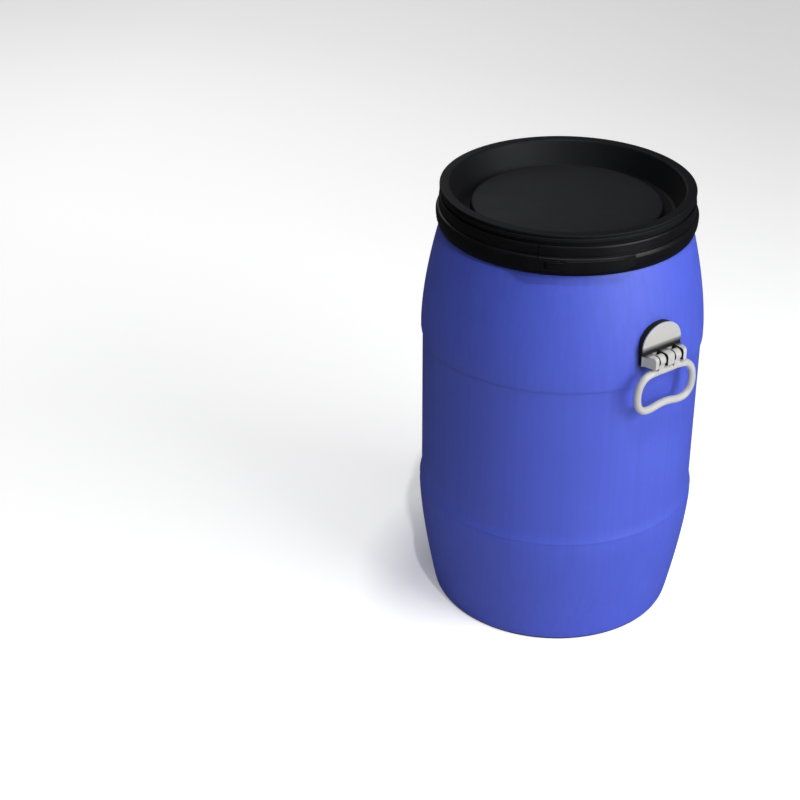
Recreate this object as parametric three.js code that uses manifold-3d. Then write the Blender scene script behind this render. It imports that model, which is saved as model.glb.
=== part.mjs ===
// Plastic open head drum: a blow-moulded body, a clamped lid with a lever ring, and two steel bail handles.
// Units are millimetres, +Z is up, and the origin is the middle of the foot, on the floor.
import * as THREE from "three";
import { mergeVertices } from "three/addons/utils/BufferGeometryUtils.js";
import Module from "manifold-3d";

const wasm = await Module();
wasm.setup();

// ---------------------------------------------------------------- driving dimensions

const SIDES = 40; // facets round every large turned piece
const CLEAR = 0.3; // gap kept between pieces that touch
const BITE = 1; // how far joined shapes run into each other, and cuts run past a face
const BAND_STEP = 3; // degrees of a band round the axis in one facet

// body
const HEIGHT = 800; // floor to the lid's top edge
const WALL = 4;
const FOOT_R = 218.3;
const FOOT_ROUND = 4;
const FOOT_RING = 22; // width of the ring that stands on the floor
const FOOT_SLOPE = 12; // from the standing ring in to the domed base, in plan
const PUSH_UP = 10; // how far the base is domed in
const FLOOR_ROUND = 6; // height of the slope inside, where the wall meets the floor
const FLOOR_SLOPE = 8; // its width in plan
const BELLY_R = 249.4;
const BELLY_Z = 212;
const RIDGE_STEP = 3.8; // from the belly in to the straight band between the two ridges
const LOWER_RIDGE_Z = 227;
const LOWER_RIDGE_FLARE = 24; // height over which the straight band flares out to the belly
const UPPER_RIDGE_DROP = 271; // below the lid's top edge
const SHOULDER_STEP = 0.9; // from the belly in to the upper ridge
const UPPER_RIDGE_HALF_H = 3.5;
const RIDGE_RISE = 11; // straight stretch above the upper ridge
const SHOULDER_DROP = 77; // where the shoulder meets the neck, below the top edge
const COLLAR_OUT = 7; // shoulder's end beyond the neck
const COLLAR_H = 4; // the shoulder's last rise to the neck's foot
const NECK_FOOT_H = 5; // slope from the collar in to the neck
const SHOULDER_POWER = 1.62; // how late the shoulder curves in
const FOOT_POWER = 1.45; // how late the lower barrel curves in
const NECK_R = 211.5;
const NECK_WALL = 4.5;
const LIP_DROP = 10; // neck lip below the lid's top edge
const LIP_EDGE = 1.5; // chamfer of the neck lip
const BEAD_OUT = 4.8; // how far the neck bead stands out
const BEAD_DROP = 53; // middle of the neck bead below the top edge
const BEAD_HEIGHT = 14;
const BEAD_SLOPE = 3;

// lid
const LID_T = 3;
const LID_SKIRT_T = 3.7;
const LID_RIM_OUT = 2; // rim beyond the clamped flange
const LID_SKIRT_GAP = 1.1; // lid skirt round the neck
const LID_EDGE_ROUND = 3;
const LID_LAND_W = 17.3; // flat top land
const LID_SLOPE_W = 17; // inner wall, in plan
const LID_FLOOR_DROP = 45;
const LID_CHANNEL_W = 20;
const LID_DISC_DROP = 33;
const LID_DISC_EDGE = 3; // rounding of the disc's edge
const LID_DRAFT = 1;
const LID_GROOVE_DROP = 4.2; // upper groove in the lid's edge
const LID_GROOVE_H = 2;
const LID_GROOVE_DEPTH = 1.5;
const LID_BEAD_DROP = 6.7;
const LID_BEAD_H = 7.1;
const LID_WAIST_DROP = 14.4; // lower groove, down to the flange
const LID_WAIST_DEPTH = 3.8;
const LID_FLANGE_DROP = 22.5; // clamped face of the flange
const LID_SKIRT_DROP = 36;
const GASKET_T = 6.4;

// clamp ring
const RING_T = 2;
const RING_BULGE = 8.2; // lower band's outer face beyond the lid's flange
const RING_SPLIT = 1.2; // gap between the ring's two ends
const RING_TOP_DROP = 19.2;
const RING_BOTTOM_DROP = 70;
const RING_LIP_REACH = 1.1; // upper lip over the lid's flange
const RING_LIP_T = 2.5;
const RING_BEAD_GAP = 1.1; // lower lip round the neck bead

// latch: lengths along the ring are measured at the lever's pivot
const LATCH_MID = -38; // azimuth of the latch's middle, in degrees
const LATCH_HALF_LENGTH = 106.8;
const TAPER_LENGTH = 32;
const FULCRUM_OFFSET = 44; // from the latch's middle back to the lever's pivot
const LINK_PIN_OFFSET = 18; // from the lever's pivot to the link pin
const CATCH_OFFSET = 30; // from the lever's pivot back to the catch pin
const LATCH_BOTTOM_DROP = 58;
const LATCH_H = 20;
const STRAP_T = 2.2;
const STRAP_OUT = 9.5; // strap's outer face beyond the ring
const PIVOT_OUT = 4.7; // lever and link pivots beyond the ring
const CATCH_OUT = 3.7; // catch pin beyond the ring
const LATCH_PIN_R = 2;
const STRAP_END_OUT = 2.7; // strap's outer face beyond the ring at its thin end
const LEVER_ROOT = 2.5; // from the pivot to where the lever's narrow strap starts
const LEVER_NECK = 13; // from the link pin to where the lever's strap is full height
const CLAW_WEB_BACK = 3.4; // from the pivot back to where the claw's strap starts
const CLAW_TOE = 3.4; // of the flanges beyond the notch
const CLAW_FLANGE_OUT = 2.4; // flanges' inner edge beyond the ring
const NOTCH_DEEP = 0.4; // room in the notch beyond the catch pin
const NOTCH_WIDE = 1.2; // room beside the catch pin, towards the lever
const EAR_T = 2.2;
const EAR_R = 3.6;
const FLANGE_T = 2.7;
const BRACKET_T = 1.6;
const KNUCKLE_R = 3.2;
const BRACKET_NECK = 7; // narrow stretch of the bracket's plate, from the knuckle
const BRACKET_LENGTH = 13;
const RIVET_R = 1.3;
const RIVET_HEAD_R = 2.4;
const RIVET_HEAD_T = 0.9;
const RIVET_DROP = 48; // middle of each pair of rivets, below the top edge
const RIVET_HEAD_EDGE = 0.6;
const RIVET_SPREAD = 5.6;
const RIVET_OFFSET = 9.6; // along the ring from the knuckle

// bail handles
const PLATE_T = 2.5;
const PLATE_HALF_W = 42.5;
const PLATE_BOTTOM_DROP = 232;
const PLATE_SPRING_DROP = 200; // where the arched top begins
const PLATE_ARCH_H = 37.5;
const PACKER_LEAST = 2.2;
const PACKER_INSET = 1;
const HINGE_DROP = 220; // hinge axis below the lid's top edge
const HINGE_OUT = 14.5; // hinge axis in front of the plate
const HINGE_PIN_R = 4;
const PIN_END_WALL = 3; // of the knuckle that closes one end of the pin's bore
const BLOCK_HALF_H = 10.25;
const BLOCK_FRONT = 10; // block's front face beyond the hinge axis
const BLOCK_ROUND = 7;
const BLOCK_BACK_HALF_W = 41.5;
const BLOCK_FRONT_HALF_W = 34.5;
const CENTRE_KNUCKLE_HALF_W = 8;
const ARM_W = 13.5;
const ARM_SIDE_GAP = 2.5;
const EYE_R = 9.5;
const ROD_R = 6.5;
const BAR_BELOW_HINGE = 21.5;
const LOOP_HALF_W = 62;
const LOOP_DEPTH = 67.5; // top bar to the lowest part of the grip
const GRIP_WAVE = 4;
const STUD_R = 4;
const STUD_HALF_SPREAD = 22;
const STUD_DROP = 196;
const BACKING_T = 2.5;
const BACKING_HALF_W = 36;
const BACKING_HALF_H = 14;
const NUT_R = 7.5; // across corners
const NUT_T = 6.5;
const STUD_END = 2; // of the stud beyond the nut

// ---------------------------------------------------------------- derived places

const LIP_Z = HEIGHT - LIP_DROP;
const SHOULDER_END_Z = HEIGHT - SHOULDER_DROP;
const UPPER_RIDGE_Z = HEIGHT - UPPER_RIDGE_DROP;
const SHOULDER_START_Z = UPPER_RIDGE_Z + RIDGE_RISE;
const MIDDLE_R = BELLY_R - RIDGE_STEP;
const SHOULDER_R = BELLY_R - SHOULDER_STEP;
const SHOULDER_END_R = NECK_R + COLLAR_OUT;
const BEAD_Z = HEIGHT - BEAD_DROP;
const BEAD_R = NECK_R + BEAD_OUT;
const NECK_INNER_R = NECK_R - NECK_WALL;
const SKIRT_INNER_R = NECK_R + LID_SKIRT_GAP;
const LID_FLANGE_R = SKIRT_INNER_R + LID_SKIRT_T;
const LID_R = LID_FLANGE_R + LID_RIM_OUT;
const LID_LAND_R = LID_R - LID_LAND_W;
const LID_FLOOR_R = LID_LAND_R - LID_SLOPE_W;
const LID_DISC_R = LID_FLOOR_R - LID_CHANNEL_W;
const RING_R = LID_FLANGE_R + RING_BULGE;
const LATCH_Z = HEIGHT - LATCH_BOTTOM_DROP;
const LATCH_TOP_Z = LATCH_Z + LATCH_H;
const STRAP_R = RING_R + STRAP_OUT;
const PIVOT_R = RING_R + PIVOT_OUT;
const CATCH_R = RING_R + CATCH_OUT;
const FULCRUM_AZ = LATCH_MID - alongRing(FULCRUM_OFFSET);
const LINK_PIN_AZ = FULCRUM_AZ + alongRing(LINK_PIN_OFFSET);
const CATCH_AZ = FULCRUM_AZ - alongRing(CATCH_OFFSET);
const LATCH_HALF_SPAN = alongRing(LATCH_HALF_LENGTH);
const TAPER_SPAN = alongRing(TAPER_LENGTH);
const EAR_Z = LATCH_Z + FLANGE_T + CLEAR;
const EAR_TOP_Z = LATCH_TOP_Z - FLANGE_T - CLEAR;
const KNUCKLE_Z = EAR_Z + EAR_T + CLEAR;
const KNUCKLE_TOP_Z = EAR_TOP_Z - EAR_T - CLEAR;
const BASE_R = RING_R + CLEAR;
const PLATE_BOTTOM_Z = HEIGHT - PLATE_BOTTOM_DROP;
const PLATE_SPRING_Z = HEIGHT - PLATE_SPRING_DROP;
const HINGE_Z = HEIGHT - HINGE_DROP;
const STUD_Z = HEIGHT - STUD_DROP;
const PLATE_BACK_X = bodyRadius(PLATE_BOTTOM_Z) + CLEAR + PACKER_LEAST;
const PLATE_FRONT_X = PLATE_BACK_X + PLATE_T;
const HINGE_X = PLATE_FRONT_X + HINGE_OUT;
const BLOCK_FRONT_X = HINGE_X + BLOCK_FRONT;
const ARM_INNER_Y = CENTRE_KNUCKLE_HALF_W + ARM_SIDE_GAP;
const SIDE_KNUCKLE_Y = ARM_INNER_Y + ARM_W + ARM_SIDE_GAP;

// ---------------------------------------------------------------- geometry helpers

const radians = THREE.MathUtils.degToRad;

function solid(geometry) {
  geometry.deleteAttribute("normal");
  geometry.deleteAttribute("uv");
  const merged = mergeVertices(geometry, 1e-3);
  return new wasm.Manifold(
    new wasm.Mesh({
      numProp: 3,
      vertProperties: merged.attributes.position.array,
      triVerts: new Uint32Array(merged.index.array),
    }),
  );
}

function geometryOf(made) {
  const mesh = made.getMesh();
  const geometry = new THREE.BufferGeometry();
  geometry.setAttribute("position", new THREE.BufferAttribute(mesh.vertProperties, 3));
  geometry.setIndex(new THREE.BufferAttribute(mesh.triVerts, 1));
  const flat = geometry.toNonIndexed();
  flat.computeVertexNormals();
  return flat;
}

// Turns an outline of [radius, height] pairs, anticlockwise, about +Z.
function turned(outline, sides = SIDES) {
  const points = outline.map(([r, z]) => new THREE.Vector2(r, z));
  if (outline[0][0] > 0) points.push(points[0].clone());
  return solid(new THREE.LatheGeometry(points, sides).rotateX(Math.PI / 2));
}

// Points of an arc in an outline, angles in degrees from the outward direction.
function arc(r, z, radius, from, to, steps) {
  const points = [];
  for (let i = 0; i <= steps; i++) {
    const a = radians(from + ((to - from) * i) / steps);
    points.push([r + radius * Math.cos(a), z + radius * Math.sin(a)]);
  }
  return points;
}

function extruded(shape, depth, curveSegments = 8) {
  return new THREE.ExtrudeGeometry(shape, { depth, bevelEnabled: false, curveSegments });
}

// A plan shape, extruded from one height to another.
function upright(shape, low, high, curveSegments) {
  return solid(extruded(shape, high - low, curveSegments).translate(0, 0, low));
}

// A (y, z) shape, extruded along X.
function outward(shape, from, to, curveSegments) {
  const turn = new THREE.Matrix4().makeBasis(
    new THREE.Vector3(0, 1, 0),
    new THREE.Vector3(0, 0, 1),
    new THREE.Vector3(1, 0, 0),
  );
  return solid(extruded(shape, to - from, curveSegments).applyMatrix4(turn).translate(from, 0, 0));
}

// An (x, z) shape, extruded along Y.
function sideways(shape, from, to, curveSegments) {
  const turn = new THREE.Matrix4().makeRotationX(Math.PI / 2);
  return solid(extruded(shape, to - from, curveSegments).applyMatrix4(turn).translate(0, to, 0));
}

function shapeOf(points) {
  return new THREE.Shape(points.map(([x, y]) => new THREE.Vector2(x, y)));
}

function circle(x, y, r) {
  return new THREE.Shape().absarc(x, y, r, 0, Math.PI * 2, false);
}

function polar(r, azimuth) {
  return [r * Math.cos(radians(azimuth)), r * Math.sin(radians(azimuth))];
}

// A round post, standing at an azimuth.
function post(r, azimuth, radius, low, high) {
  const [x, y] = polar(r, azimuth);
  return upright(circle(x, y, radius), low, high, 8);
}

// A band between two radii, which may each be a function of the azimuth.
function band(inner, outer, from, to, low, high) {
  const at = (radius, a) => (typeof radius === "function" ? radius(a) : radius);
  const steps = Math.max(1, Math.ceil(Math.abs(to - from) / BAND_STEP));
  const angles = Array.from({ length: steps + 1 }, (_, i) => from + ((to - from) * i) / steps);
  const outside = angles.map((a) => polar(at(outer, a), a));
  const inside = angles.reverse().map((a) => polar(at(inner, a), a));
  return upright(shapeOf([...outside, ...inside]), low, high);
}

// Millimetres along the ring at the pivots' radius, as degrees.
function alongRing(mm) {
  return THREE.MathUtils.radToDeg(mm / PIVOT_R);
}

function joined(pieces) {
  return pieces.reduce((sum, piece) => sum.add(piece));
}

const part = new THREE.Group();

function material(color, roughness, metalness) {
  return new THREE.MeshStandardMaterial({ color, roughness, metalness });
}

const blue = material(0x4a5bd0, 0.5, 0);
const black = material(0x1b1c1e, 0.6, 0);
const blackSteel = material(0x17181a, 0.45, 0.4);
const greySteel = material(0xd9d9dc, 0.35, 0.5);
const zinc = material(0x9fa3a8, 0.4, 0.9);
const rubber = material(0x101112, 0.9, 0);

function place(name, made, look, group = part) {
  const mesh = new THREE.Mesh(geometryOf(made), look);
  mesh.name = name;
  group.add(mesh);
}

// ---------------------------------------------------------------- body

// The body's outer radius at a height, up to the top of the shoulder.
function bodyRadius(z) {
  if (z < BELLY_Z) {
    const up = (BELLY_Z - z) / BELLY_Z;
    return BELLY_R - (BELLY_R - FOOT_R) * up ** FOOT_POWER;
  }
  if (z < LOWER_RIDGE_Z) return BELLY_R;
  if (z < UPPER_RIDGE_Z) return MIDDLE_R;
  if (z < SHOULDER_START_Z) return SHOULDER_R;
  const up = (z - SHOULDER_START_Z) / (SHOULDER_END_Z - SHOULDER_START_Z);
  return SHOULDER_R - (SHOULDER_R - SHOULDER_END_R) * up ** SHOULDER_POWER;
}

function heights(from, to, steps) {
  return Array.from({ length: steps + 1 }, (_, i) => from + ((to - from) * i) / steps);
}

// The side of the body from the foot to the shoulder's end, moved out by a gap.
function sideOutline(out) {
  const at = (z) => [bodyRadius(z) + out, z];
  const lowest = FOOT_ROUND + 1;
  return [
    ...heights(lowest, BELLY_Z, 5).map(at),
    [BELLY_R + out, LOWER_RIDGE_Z],
    [MIDDLE_R + out + RIDGE_STEP / 4, LOWER_RIDGE_Z + LOWER_RIDGE_FLARE / 2],
    [MIDDLE_R + out, LOWER_RIDGE_Z + LOWER_RIDGE_FLARE],
    [MIDDLE_R + out, UPPER_RIDGE_Z - UPPER_RIDGE_HALF_H],
    [SHOULDER_R + out, UPPER_RIDGE_Z + UPPER_RIDGE_HALF_H],
    ...heights(SHOULDER_START_Z, SHOULDER_END_Z, 6).map(at),
  ];
}

// The faceted side's radius at a height.
function wallRadius(height) {
  const side = sideOutline(0);
  const next = side.findIndex(([, z]) => z > height);
  const [[r0, z0], [r1, z1]] = [side[next - 1], side[next]];
  return r0 + ((r1 - r0) * (height - z0)) / (z1 - z0);
}

// A full solid whose side follows the body's, for cutting pieces that seat on the wall.
function bodyCore(out) {
  const side = sideOutline(out);
  return turned([[0, side[0][1]], ...side, [0, side[side.length - 1][1]]]);
}

function footOutline() {
  const standing = FOOT_R - FOOT_ROUND;
  const inner = standing - FOOT_RING;
  return [
    [0, PUSH_UP],
    [inner - FOOT_SLOPE, PUSH_UP],
    [inner, 0],
    [standing, 0],
    ...arc(standing, FOOT_ROUND, FOOT_ROUND, -60, -20, 1),
  ];
}

function neckOutline() {
  const half = BEAD_HEIGHT / 2;
  const collar = SHOULDER_END_Z + COLLAR_H;
  return [
    [BEAD_R, collar],
    [NECK_R, collar + NECK_FOOT_H],
    [NECK_R, BEAD_Z - half],
    [BEAD_R, BEAD_Z - half + BEAD_SLOPE],
    [BEAD_R, BEAD_Z + half - BEAD_SLOPE],
    [NECK_R, BEAD_Z + half],
    [NECK_R, LIP_Z - LIP_EDGE],
    [NECK_R - LIP_EDGE, LIP_Z],
    [NECK_INNER_R + LIP_EDGE, LIP_Z],
    [NECK_INNER_R, LIP_Z - LIP_EDGE],
    [NECK_INNER_R, collar + LIP_EDGE],
  ];
}

// The inner wall, from the neck down: the side moved in by the wall, so that pieces seat on both faces.
function insideOutline() {
  const floor = PUSH_UP + WALL;
  const lowest = floor + FLOOR_ROUND;
  const wall = sideOutline(-WALL).filter(([, z]) => z > lowest);
  return [
    ...wall.reverse(),
    [bodyRadius(lowest) - WALL, lowest],
    [FOOT_R - WALL - FLOOR_SLOPE, floor],
    [0, floor],
  ];
}

// The studs' holes through the wall, on both sides.
function studHoles() {
  const holes = [];
  for (const [from, to] of [[NECK_R, BELLY_R + WALL], [-BELLY_R - WALL, -NECK_R]])
    for (const hand of [1, -1]) holes.push(outward(studShape(hand, STUD_R + CLEAR), from, to, 8));
  return joined(holes);
}

function body() {
  const wall = turned([...footOutline(), ...sideOutline(0), ...neckOutline(), ...insideOutline()]);
  place("drum_body", wall.subtract(studHoles()), blue);
}

// ---------------------------------------------------------------- lid and gasket

// The lid's outer edge: land, rounded edge, two grooves with a bead between, and the clamped flange.
function lidEdge() {
  const rounded = arc(LID_R - LID_EDGE_ROUND, HEIGHT - LID_EDGE_ROUND, LID_EDGE_ROUND, 90, 0, 2);
  const edge = [
    [LID_GROOVE_DEPTH, LID_GROOVE_DROP],
    [LID_GROOVE_DEPTH, LID_GROOVE_DROP + LID_GROOVE_H],
    [0, LID_BEAD_DROP],
    [0, LID_BEAD_DROP + LID_BEAD_H],
    [LID_WAIST_DEPTH, LID_WAIST_DROP],
    [LID_WAIST_DEPTH, LID_FLANGE_DROP],
    [LID_RIM_OUT, LID_FLANGE_DROP],
    [LID_RIM_OUT, LID_SKIRT_DROP],
  ];
  return [...rounded, ...edge.map(([inward, drop]) => [LID_R - inward, HEIGHT - drop])];
}

function lid() {
  const floor = HEIGHT - LID_FLOOR_DROP;
  const disc = HEIGHT - LID_DISC_DROP;
  const top = [
    [0, disc],
    [LID_DISC_R - LID_DISC_EDGE, disc],
    [LID_DISC_R, disc - LID_DISC_EDGE],
    [LID_DISC_R + LID_DRAFT, floor],
    [LID_FLOOR_R, floor],
    [LID_LAND_R - LID_DRAFT, HEIGHT - 2 * LID_DRAFT],
    [LID_LAND_R + LID_DRAFT, HEIGHT],
  ];
  const under = [
    [SKIRT_INNER_R, HEIGHT - LID_SKIRT_DROP],
    [SKIRT_INNER_R, HEIGHT - LID_T],
    [LID_LAND_R + LID_T, HEIGHT - LID_T],
    [LID_FLOOR_R + LID_T, floor - LID_T],
    [LID_DISC_R - LID_T, floor - LID_T],
    [LID_DISC_R - LID_T - LID_DRAFT, disc - LID_T],
    [0, disc - LID_T],
  ];
  const clockwise = [...top, ...lidEdge(), ...under];
  place("lid", turned(clockwise.reverse()), black);
}

function gasket() {
  const low = LIP_Z + CLEAR;
  const high = Math.min(low + GASKET_T, HEIGHT - LID_T - CLEAR);
  const inner = NECK_INNER_R - CLEAR;
  const outer = SKIRT_INNER_R - CLEAR;
  place("lid_gasket", turned([[inner, low], [outer, low], [outer, high], [inner, high]]), rubber);
}

// ---------------------------------------------------------------- clamp ring

// The hoop's section, as millimetres in from its outermost radius and down from the lid's top edge.
// Outside it has a flat band, a crease, and a bulged lower band.
function hoop() {
  const at = ([inward, drop]) => [RING_R - inward, HEIGHT - drop];
  const outside = [
    [5.9, RING_TOP_DROP],
    [5.0, 32],
    [4.6, 36.4],
    [4.9, 37.6],
    [2.2, 39.2],
    [0, 45],
    [0.2, 51],
    [0.9, 58],
    [3.2, 64],
    [4.9, RING_BOTTOM_DROP],
  ].map(at);
  const inside = [
    [RING_T + 3.2, 63.5],
    [RING_T + 1, 57.5],
    [RING_T + 0.2, 51],
    [RING_T + 0.1, 45.6],
    [RING_T + 2.2, 41],
    [RING_T + 5.3, 39],
    [RING_T + 5.5, 24],
    [RING_T + 5.7, RING_TOP_DROP + RING_LIP_T],
  ].map(at);
  const upperLip = [
    [LID_FLANGE_R - RING_LIP_REACH, HEIGHT - RING_TOP_DROP - RING_LIP_T],
    [LID_FLANGE_R - RING_LIP_REACH, HEIGHT - RING_TOP_DROP],
  ];
  const lowerLip = [
    [BEAD_R + RING_BEAD_GAP, HEIGHT - RING_BOTTOM_DROP],
    [BEAD_R + RING_BEAD_GAP, HEIGHT - RING_BOTTOM_DROP + RING_T],
  ];
  return turned([...outside, ...lowerLip, ...inside, ...upperLip].reverse());
}

// The cut between the ring's two ends, halfway between the lever's pivot and the catch pin.
function ringGap() {
  const low = HEIGHT - RING_BOTTOM_DROP - BITE;
  const middle = (FULCRUM_AZ + CATCH_AZ) / 2;
  const half = alongRing(RING_SPLIT / 2);
  return band(NECK_INNER_R, RING_R + BITE, middle - half, middle + half, low, HEIGHT);
}

function clampRing() {
  const holes = rivetPlaces().map(([, azimuth, z]) => radialRod(azimuth, z, RIVET_R + CLEAR));
  place("clamp_ring", hoop().subtract(ringGap()).subtract(joined(holes)), blackSteel);
}

// ---------------------------------------------------------------- latch

function rivetPlaces() {
  const middle = HEIGHT - RIVET_DROP;
  const places = [];
  for (const [name, azimuth, side] of [["fulcrum", FULCRUM_AZ, 1], ["catch", CATCH_AZ, -1]])
    for (const [level, hand] of [["upper", 1], ["lower", -1]])
      places.push([
        `${name}_rivet_${level}`,
        azimuth + side * alongRing(RIVET_OFFSET),
        middle + (hand * RIVET_SPREAD) / 2,
      ]);
  return places;
}

// Lays a piece made about +Z along the outward direction at an azimuth, at a height.
function laidOut(made, azimuth, z) {
  return made.rotate([0, 90, 0]).rotate([0, 0, azimuth]).translate([0, 0, z]);
}

function radialRod(azimuth, z, radius) {
  const from = BEAD_R;
  const to = STRAP_R;
  return laidOut(turned([[0, from], [radius, from], [radius, to], [0, to]], 10), azimuth, z);
}

function rivets() {
  const outerFace = BASE_R + BRACKET_T + CLEAR;
  const innerFace = RING_R - 2 * RING_T;
  const outline = [
    [0, innerFace - RIVET_HEAD_T],
    [RIVET_HEAD_R, innerFace - RIVET_HEAD_T],
    [RIVET_HEAD_R, innerFace],
    [RIVET_R, innerFace],
    [RIVET_R, outerFace],
    [RIVET_HEAD_R, outerFace],
    [RIVET_HEAD_R - RIVET_HEAD_EDGE, outerFace + RIVET_HEAD_T],
    [0, outerFace + RIVET_HEAD_T],
  ];
  for (const [name, azimuth, z] of rivetPlaces()) {
    place(name, laidOut(turned(outline, 10), azimuth, z), zinc);
  }
}

// A knuckle on a foot, with a riveted base plate to one side of it.
function bracket(name, azimuth, side, pivotR) {
  const [low, high] = [KNUCKLE_Z, KNUCKLE_TOP_Z];
  const at = (mm) => azimuth + side * alongRing(mm);
  const plateOuter = BASE_R + BRACKET_T;
  const span = (from, to) => [Math.min(at(from), at(to)), Math.max(at(from), at(to))];
  const made = joined([
    post(pivotR, azimuth, KNUCKLE_R, low, high),
    band(BASE_R, pivotR, ...span(-KNUCKLE_R, KNUCKLE_R), low, high),
    band(BASE_R, plateOuter, ...span(0, BRACKET_NECK), low, high),
    band(BASE_R, plateOuter, ...span(BRACKET_NECK - BITE, BRACKET_LENGTH), EAR_Z, EAR_TOP_Z),
  ]);
  const holes = rivetPlaces()
    .filter(([rivet]) => rivet.startsWith(name))
    .map(([, rivetAzimuth, z]) => radialRod(rivetAzimuth, z, RIVET_R + CLEAR));
  const bore = post(pivotR, azimuth, LATCH_PIN_R + CLEAR, LATCH_Z, LATCH_TOP_Z);
  place(`${name}_bracket`, made.subtract(bore).subtract(joined(holes)), blackSteel);
}

// The strap's outer radius: full, easing in to the ring towards both ends of the latch.
function strapOuter(azimuth) {
  const fromMid = Math.abs(azimuth - LATCH_MID);
  const into = Math.max(0, (fromMid - (LATCH_HALF_SPAN - TAPER_SPAN)) / TAPER_SPAN);
  const drop = STRAP_OUT - STRAP_END_OUT;
  return STRAP_R - drop * THREE.MathUtils.smoothstep(into, 0, 1);
}

function strapInner(azimuth) {
  return strapOuter(azimuth) - STRAP_T;
}

function lever() {
  const end = LATCH_MID + LATCH_HALF_SPAN;
  const rootStart = FULCRUM_AZ + alongRing(LEVER_ROOT);
  const wideStart = LINK_PIN_AZ + alongRing(LEVER_NECK);
  const ear = (low) => {
    const high = low + EAR_T;
    const earEnd = LINK_PIN_AZ + alongRing(EAR_R);
    return joined([
      post(PIVOT_R, FULCRUM_AZ, EAR_R, low, high),
      post(PIVOT_R, LINK_PIN_AZ, EAR_R, low, high),
      band(PIVOT_R - BITE, STRAP_R - BITE, FULCRUM_AZ, earEnd, low, high),
    ]);
  };
  const made = joined([
    band(strapInner, strapOuter, wideStart, end, LATCH_Z, LATCH_TOP_Z),
    band(strapInner, strapOuter, rootStart, wideStart + alongRing(BITE), EAR_Z, EAR_TOP_Z),
    ear(EAR_Z),
    ear(EAR_TOP_Z - EAR_T),
  ]);
  const bores = joined(
    [FULCRUM_AZ, LINK_PIN_AZ].map((azimuth) =>
      post(PIVOT_R, azimuth, LATCH_PIN_R + CLEAR, LATCH_Z, LATCH_TOP_Z),
    ),
  );
  place("lever", made.subtract(bores), blackSteel);
}

// The claw link: a strap over the ring's gap, with two flanges that reach back to the lever's link pin
// and are notched from inside to hook over the catch pin.
function clawLink() {
  const end = LATCH_MID - LATCH_HALF_SPAN;
  const webEnd = FULCRUM_AZ - alongRing(CLAW_WEB_BACK);
  const toeEnd = CATCH_AZ - alongRing(LATCH_PIN_R + CLEAR + CLAW_TOE);
  const inner = RING_R + CLAW_FLANGE_OUT;
  const flange = (low) =>
    joined([
      band(inner, strapOuter, toeEnd, LINK_PIN_AZ, low, low + FLANGE_T),
      post(PIVOT_R, LINK_PIN_AZ, EAR_R, low, low + FLANGE_T),
    ]);
  const notch = band(
    RING_R,
    CATCH_R + LATCH_PIN_R + NOTCH_DEEP,
    CATCH_AZ - alongRing(LATCH_PIN_R + CLEAR),
    CATCH_AZ + alongRing(LATCH_PIN_R + NOTCH_WIDE),
    LATCH_Z - BITE,
    LATCH_TOP_Z + BITE,
  );
  const made = joined([
    band(strapInner, strapOuter, end, webEnd, LATCH_Z, LATCH_TOP_Z),
    flange(LATCH_Z),
    flange(LATCH_TOP_Z - FLANGE_T),
  ]);
  const bore = post(PIVOT_R, LINK_PIN_AZ, LATCH_PIN_R + CLEAR, LATCH_Z - BITE, LATCH_TOP_Z + BITE);
  place("claw_link", made.subtract(notch).subtract(bore), blackSteel);
}

function latchPins() {
  place("lever_pin", post(PIVOT_R, FULCRUM_AZ, LATCH_PIN_R, EAR_Z, EAR_TOP_Z), blackSteel);
  place("link_pin", post(PIVOT_R, LINK_PIN_AZ, LATCH_PIN_R, LATCH_Z, LATCH_TOP_Z), blackSteel);
  place("catch_pin", post(CATCH_R, CATCH_AZ, LATCH_PIN_R, LATCH_Z, LATCH_TOP_Z), blackSteel);
}

// ---------------------------------------------------------------- bail handles, made on the +X side

// The plate's outline: straight sides under an elliptical arch, drawn smaller by an inset.
function plateShape(inset) {
  const half = PLATE_HALF_W - inset;
  const bottom = PLATE_BOTTOM_Z + inset;
  const shape = new THREE.Shape();
  shape.moveTo(-half, bottom);
  shape.lineTo(half, bottom);
  shape.lineTo(half, PLATE_SPRING_Z);
  shape.absellipse(0, PLATE_SPRING_Z, half, PLATE_ARCH_H - inset, 0, Math.PI, false);
  shape.lineTo(-half, bottom);
  return shape;
}

// A knuckle's section: flat below, rounded at its top front edge.
function blockShape() {
  const low = HINGE_Z - BLOCK_HALF_H;
  const high = HINGE_Z + BLOCK_HALF_H;
  const shape = new THREE.Shape();
  shape.moveTo(PLATE_FRONT_X - BITE, low);
  shape.lineTo(BLOCK_FRONT_X, low);
  shape.lineTo(BLOCK_FRONT_X, high - BLOCK_ROUND);
  shape.absarc(BLOCK_FRONT_X - BLOCK_ROUND, high - BLOCK_ROUND, BLOCK_ROUND, 0, Math.PI / 2, false);
  shape.lineTo(PLATE_FRONT_X - BITE, high);
  return shape;
}

function knuckles() {
  const outer = BLOCK_BACK_HALF_W;
  const spans = [
    [-outer, -SIDE_KNUCKLE_Y],
    [-CENTRE_KNUCKLE_HALF_W, CENTRE_KNUCKLE_HALF_W],
    [SIDE_KNUCKLE_Y, outer],
  ];
  const blocks = joined(spans.map(([from, to]) => sideways(blockShape(), from, to, 4)));
  const plan = shapeOf([
    [PLATE_FRONT_X - BITE, -BLOCK_BACK_HALF_W],
    [PLATE_FRONT_X, -BLOCK_BACK_HALF_W],
    [BLOCK_FRONT_X, -BLOCK_FRONT_HALF_W],
    [BLOCK_FRONT_X, BLOCK_FRONT_HALF_W],
    [PLATE_FRONT_X, BLOCK_BACK_HALF_W],
    [PLATE_FRONT_X - BITE, BLOCK_BACK_HALF_W],
  ]);
  return blocks.intersect(upright(plan, HINGE_Z - BLOCK_HALF_H, HINGE_Z + BLOCK_HALF_H));
}

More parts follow.
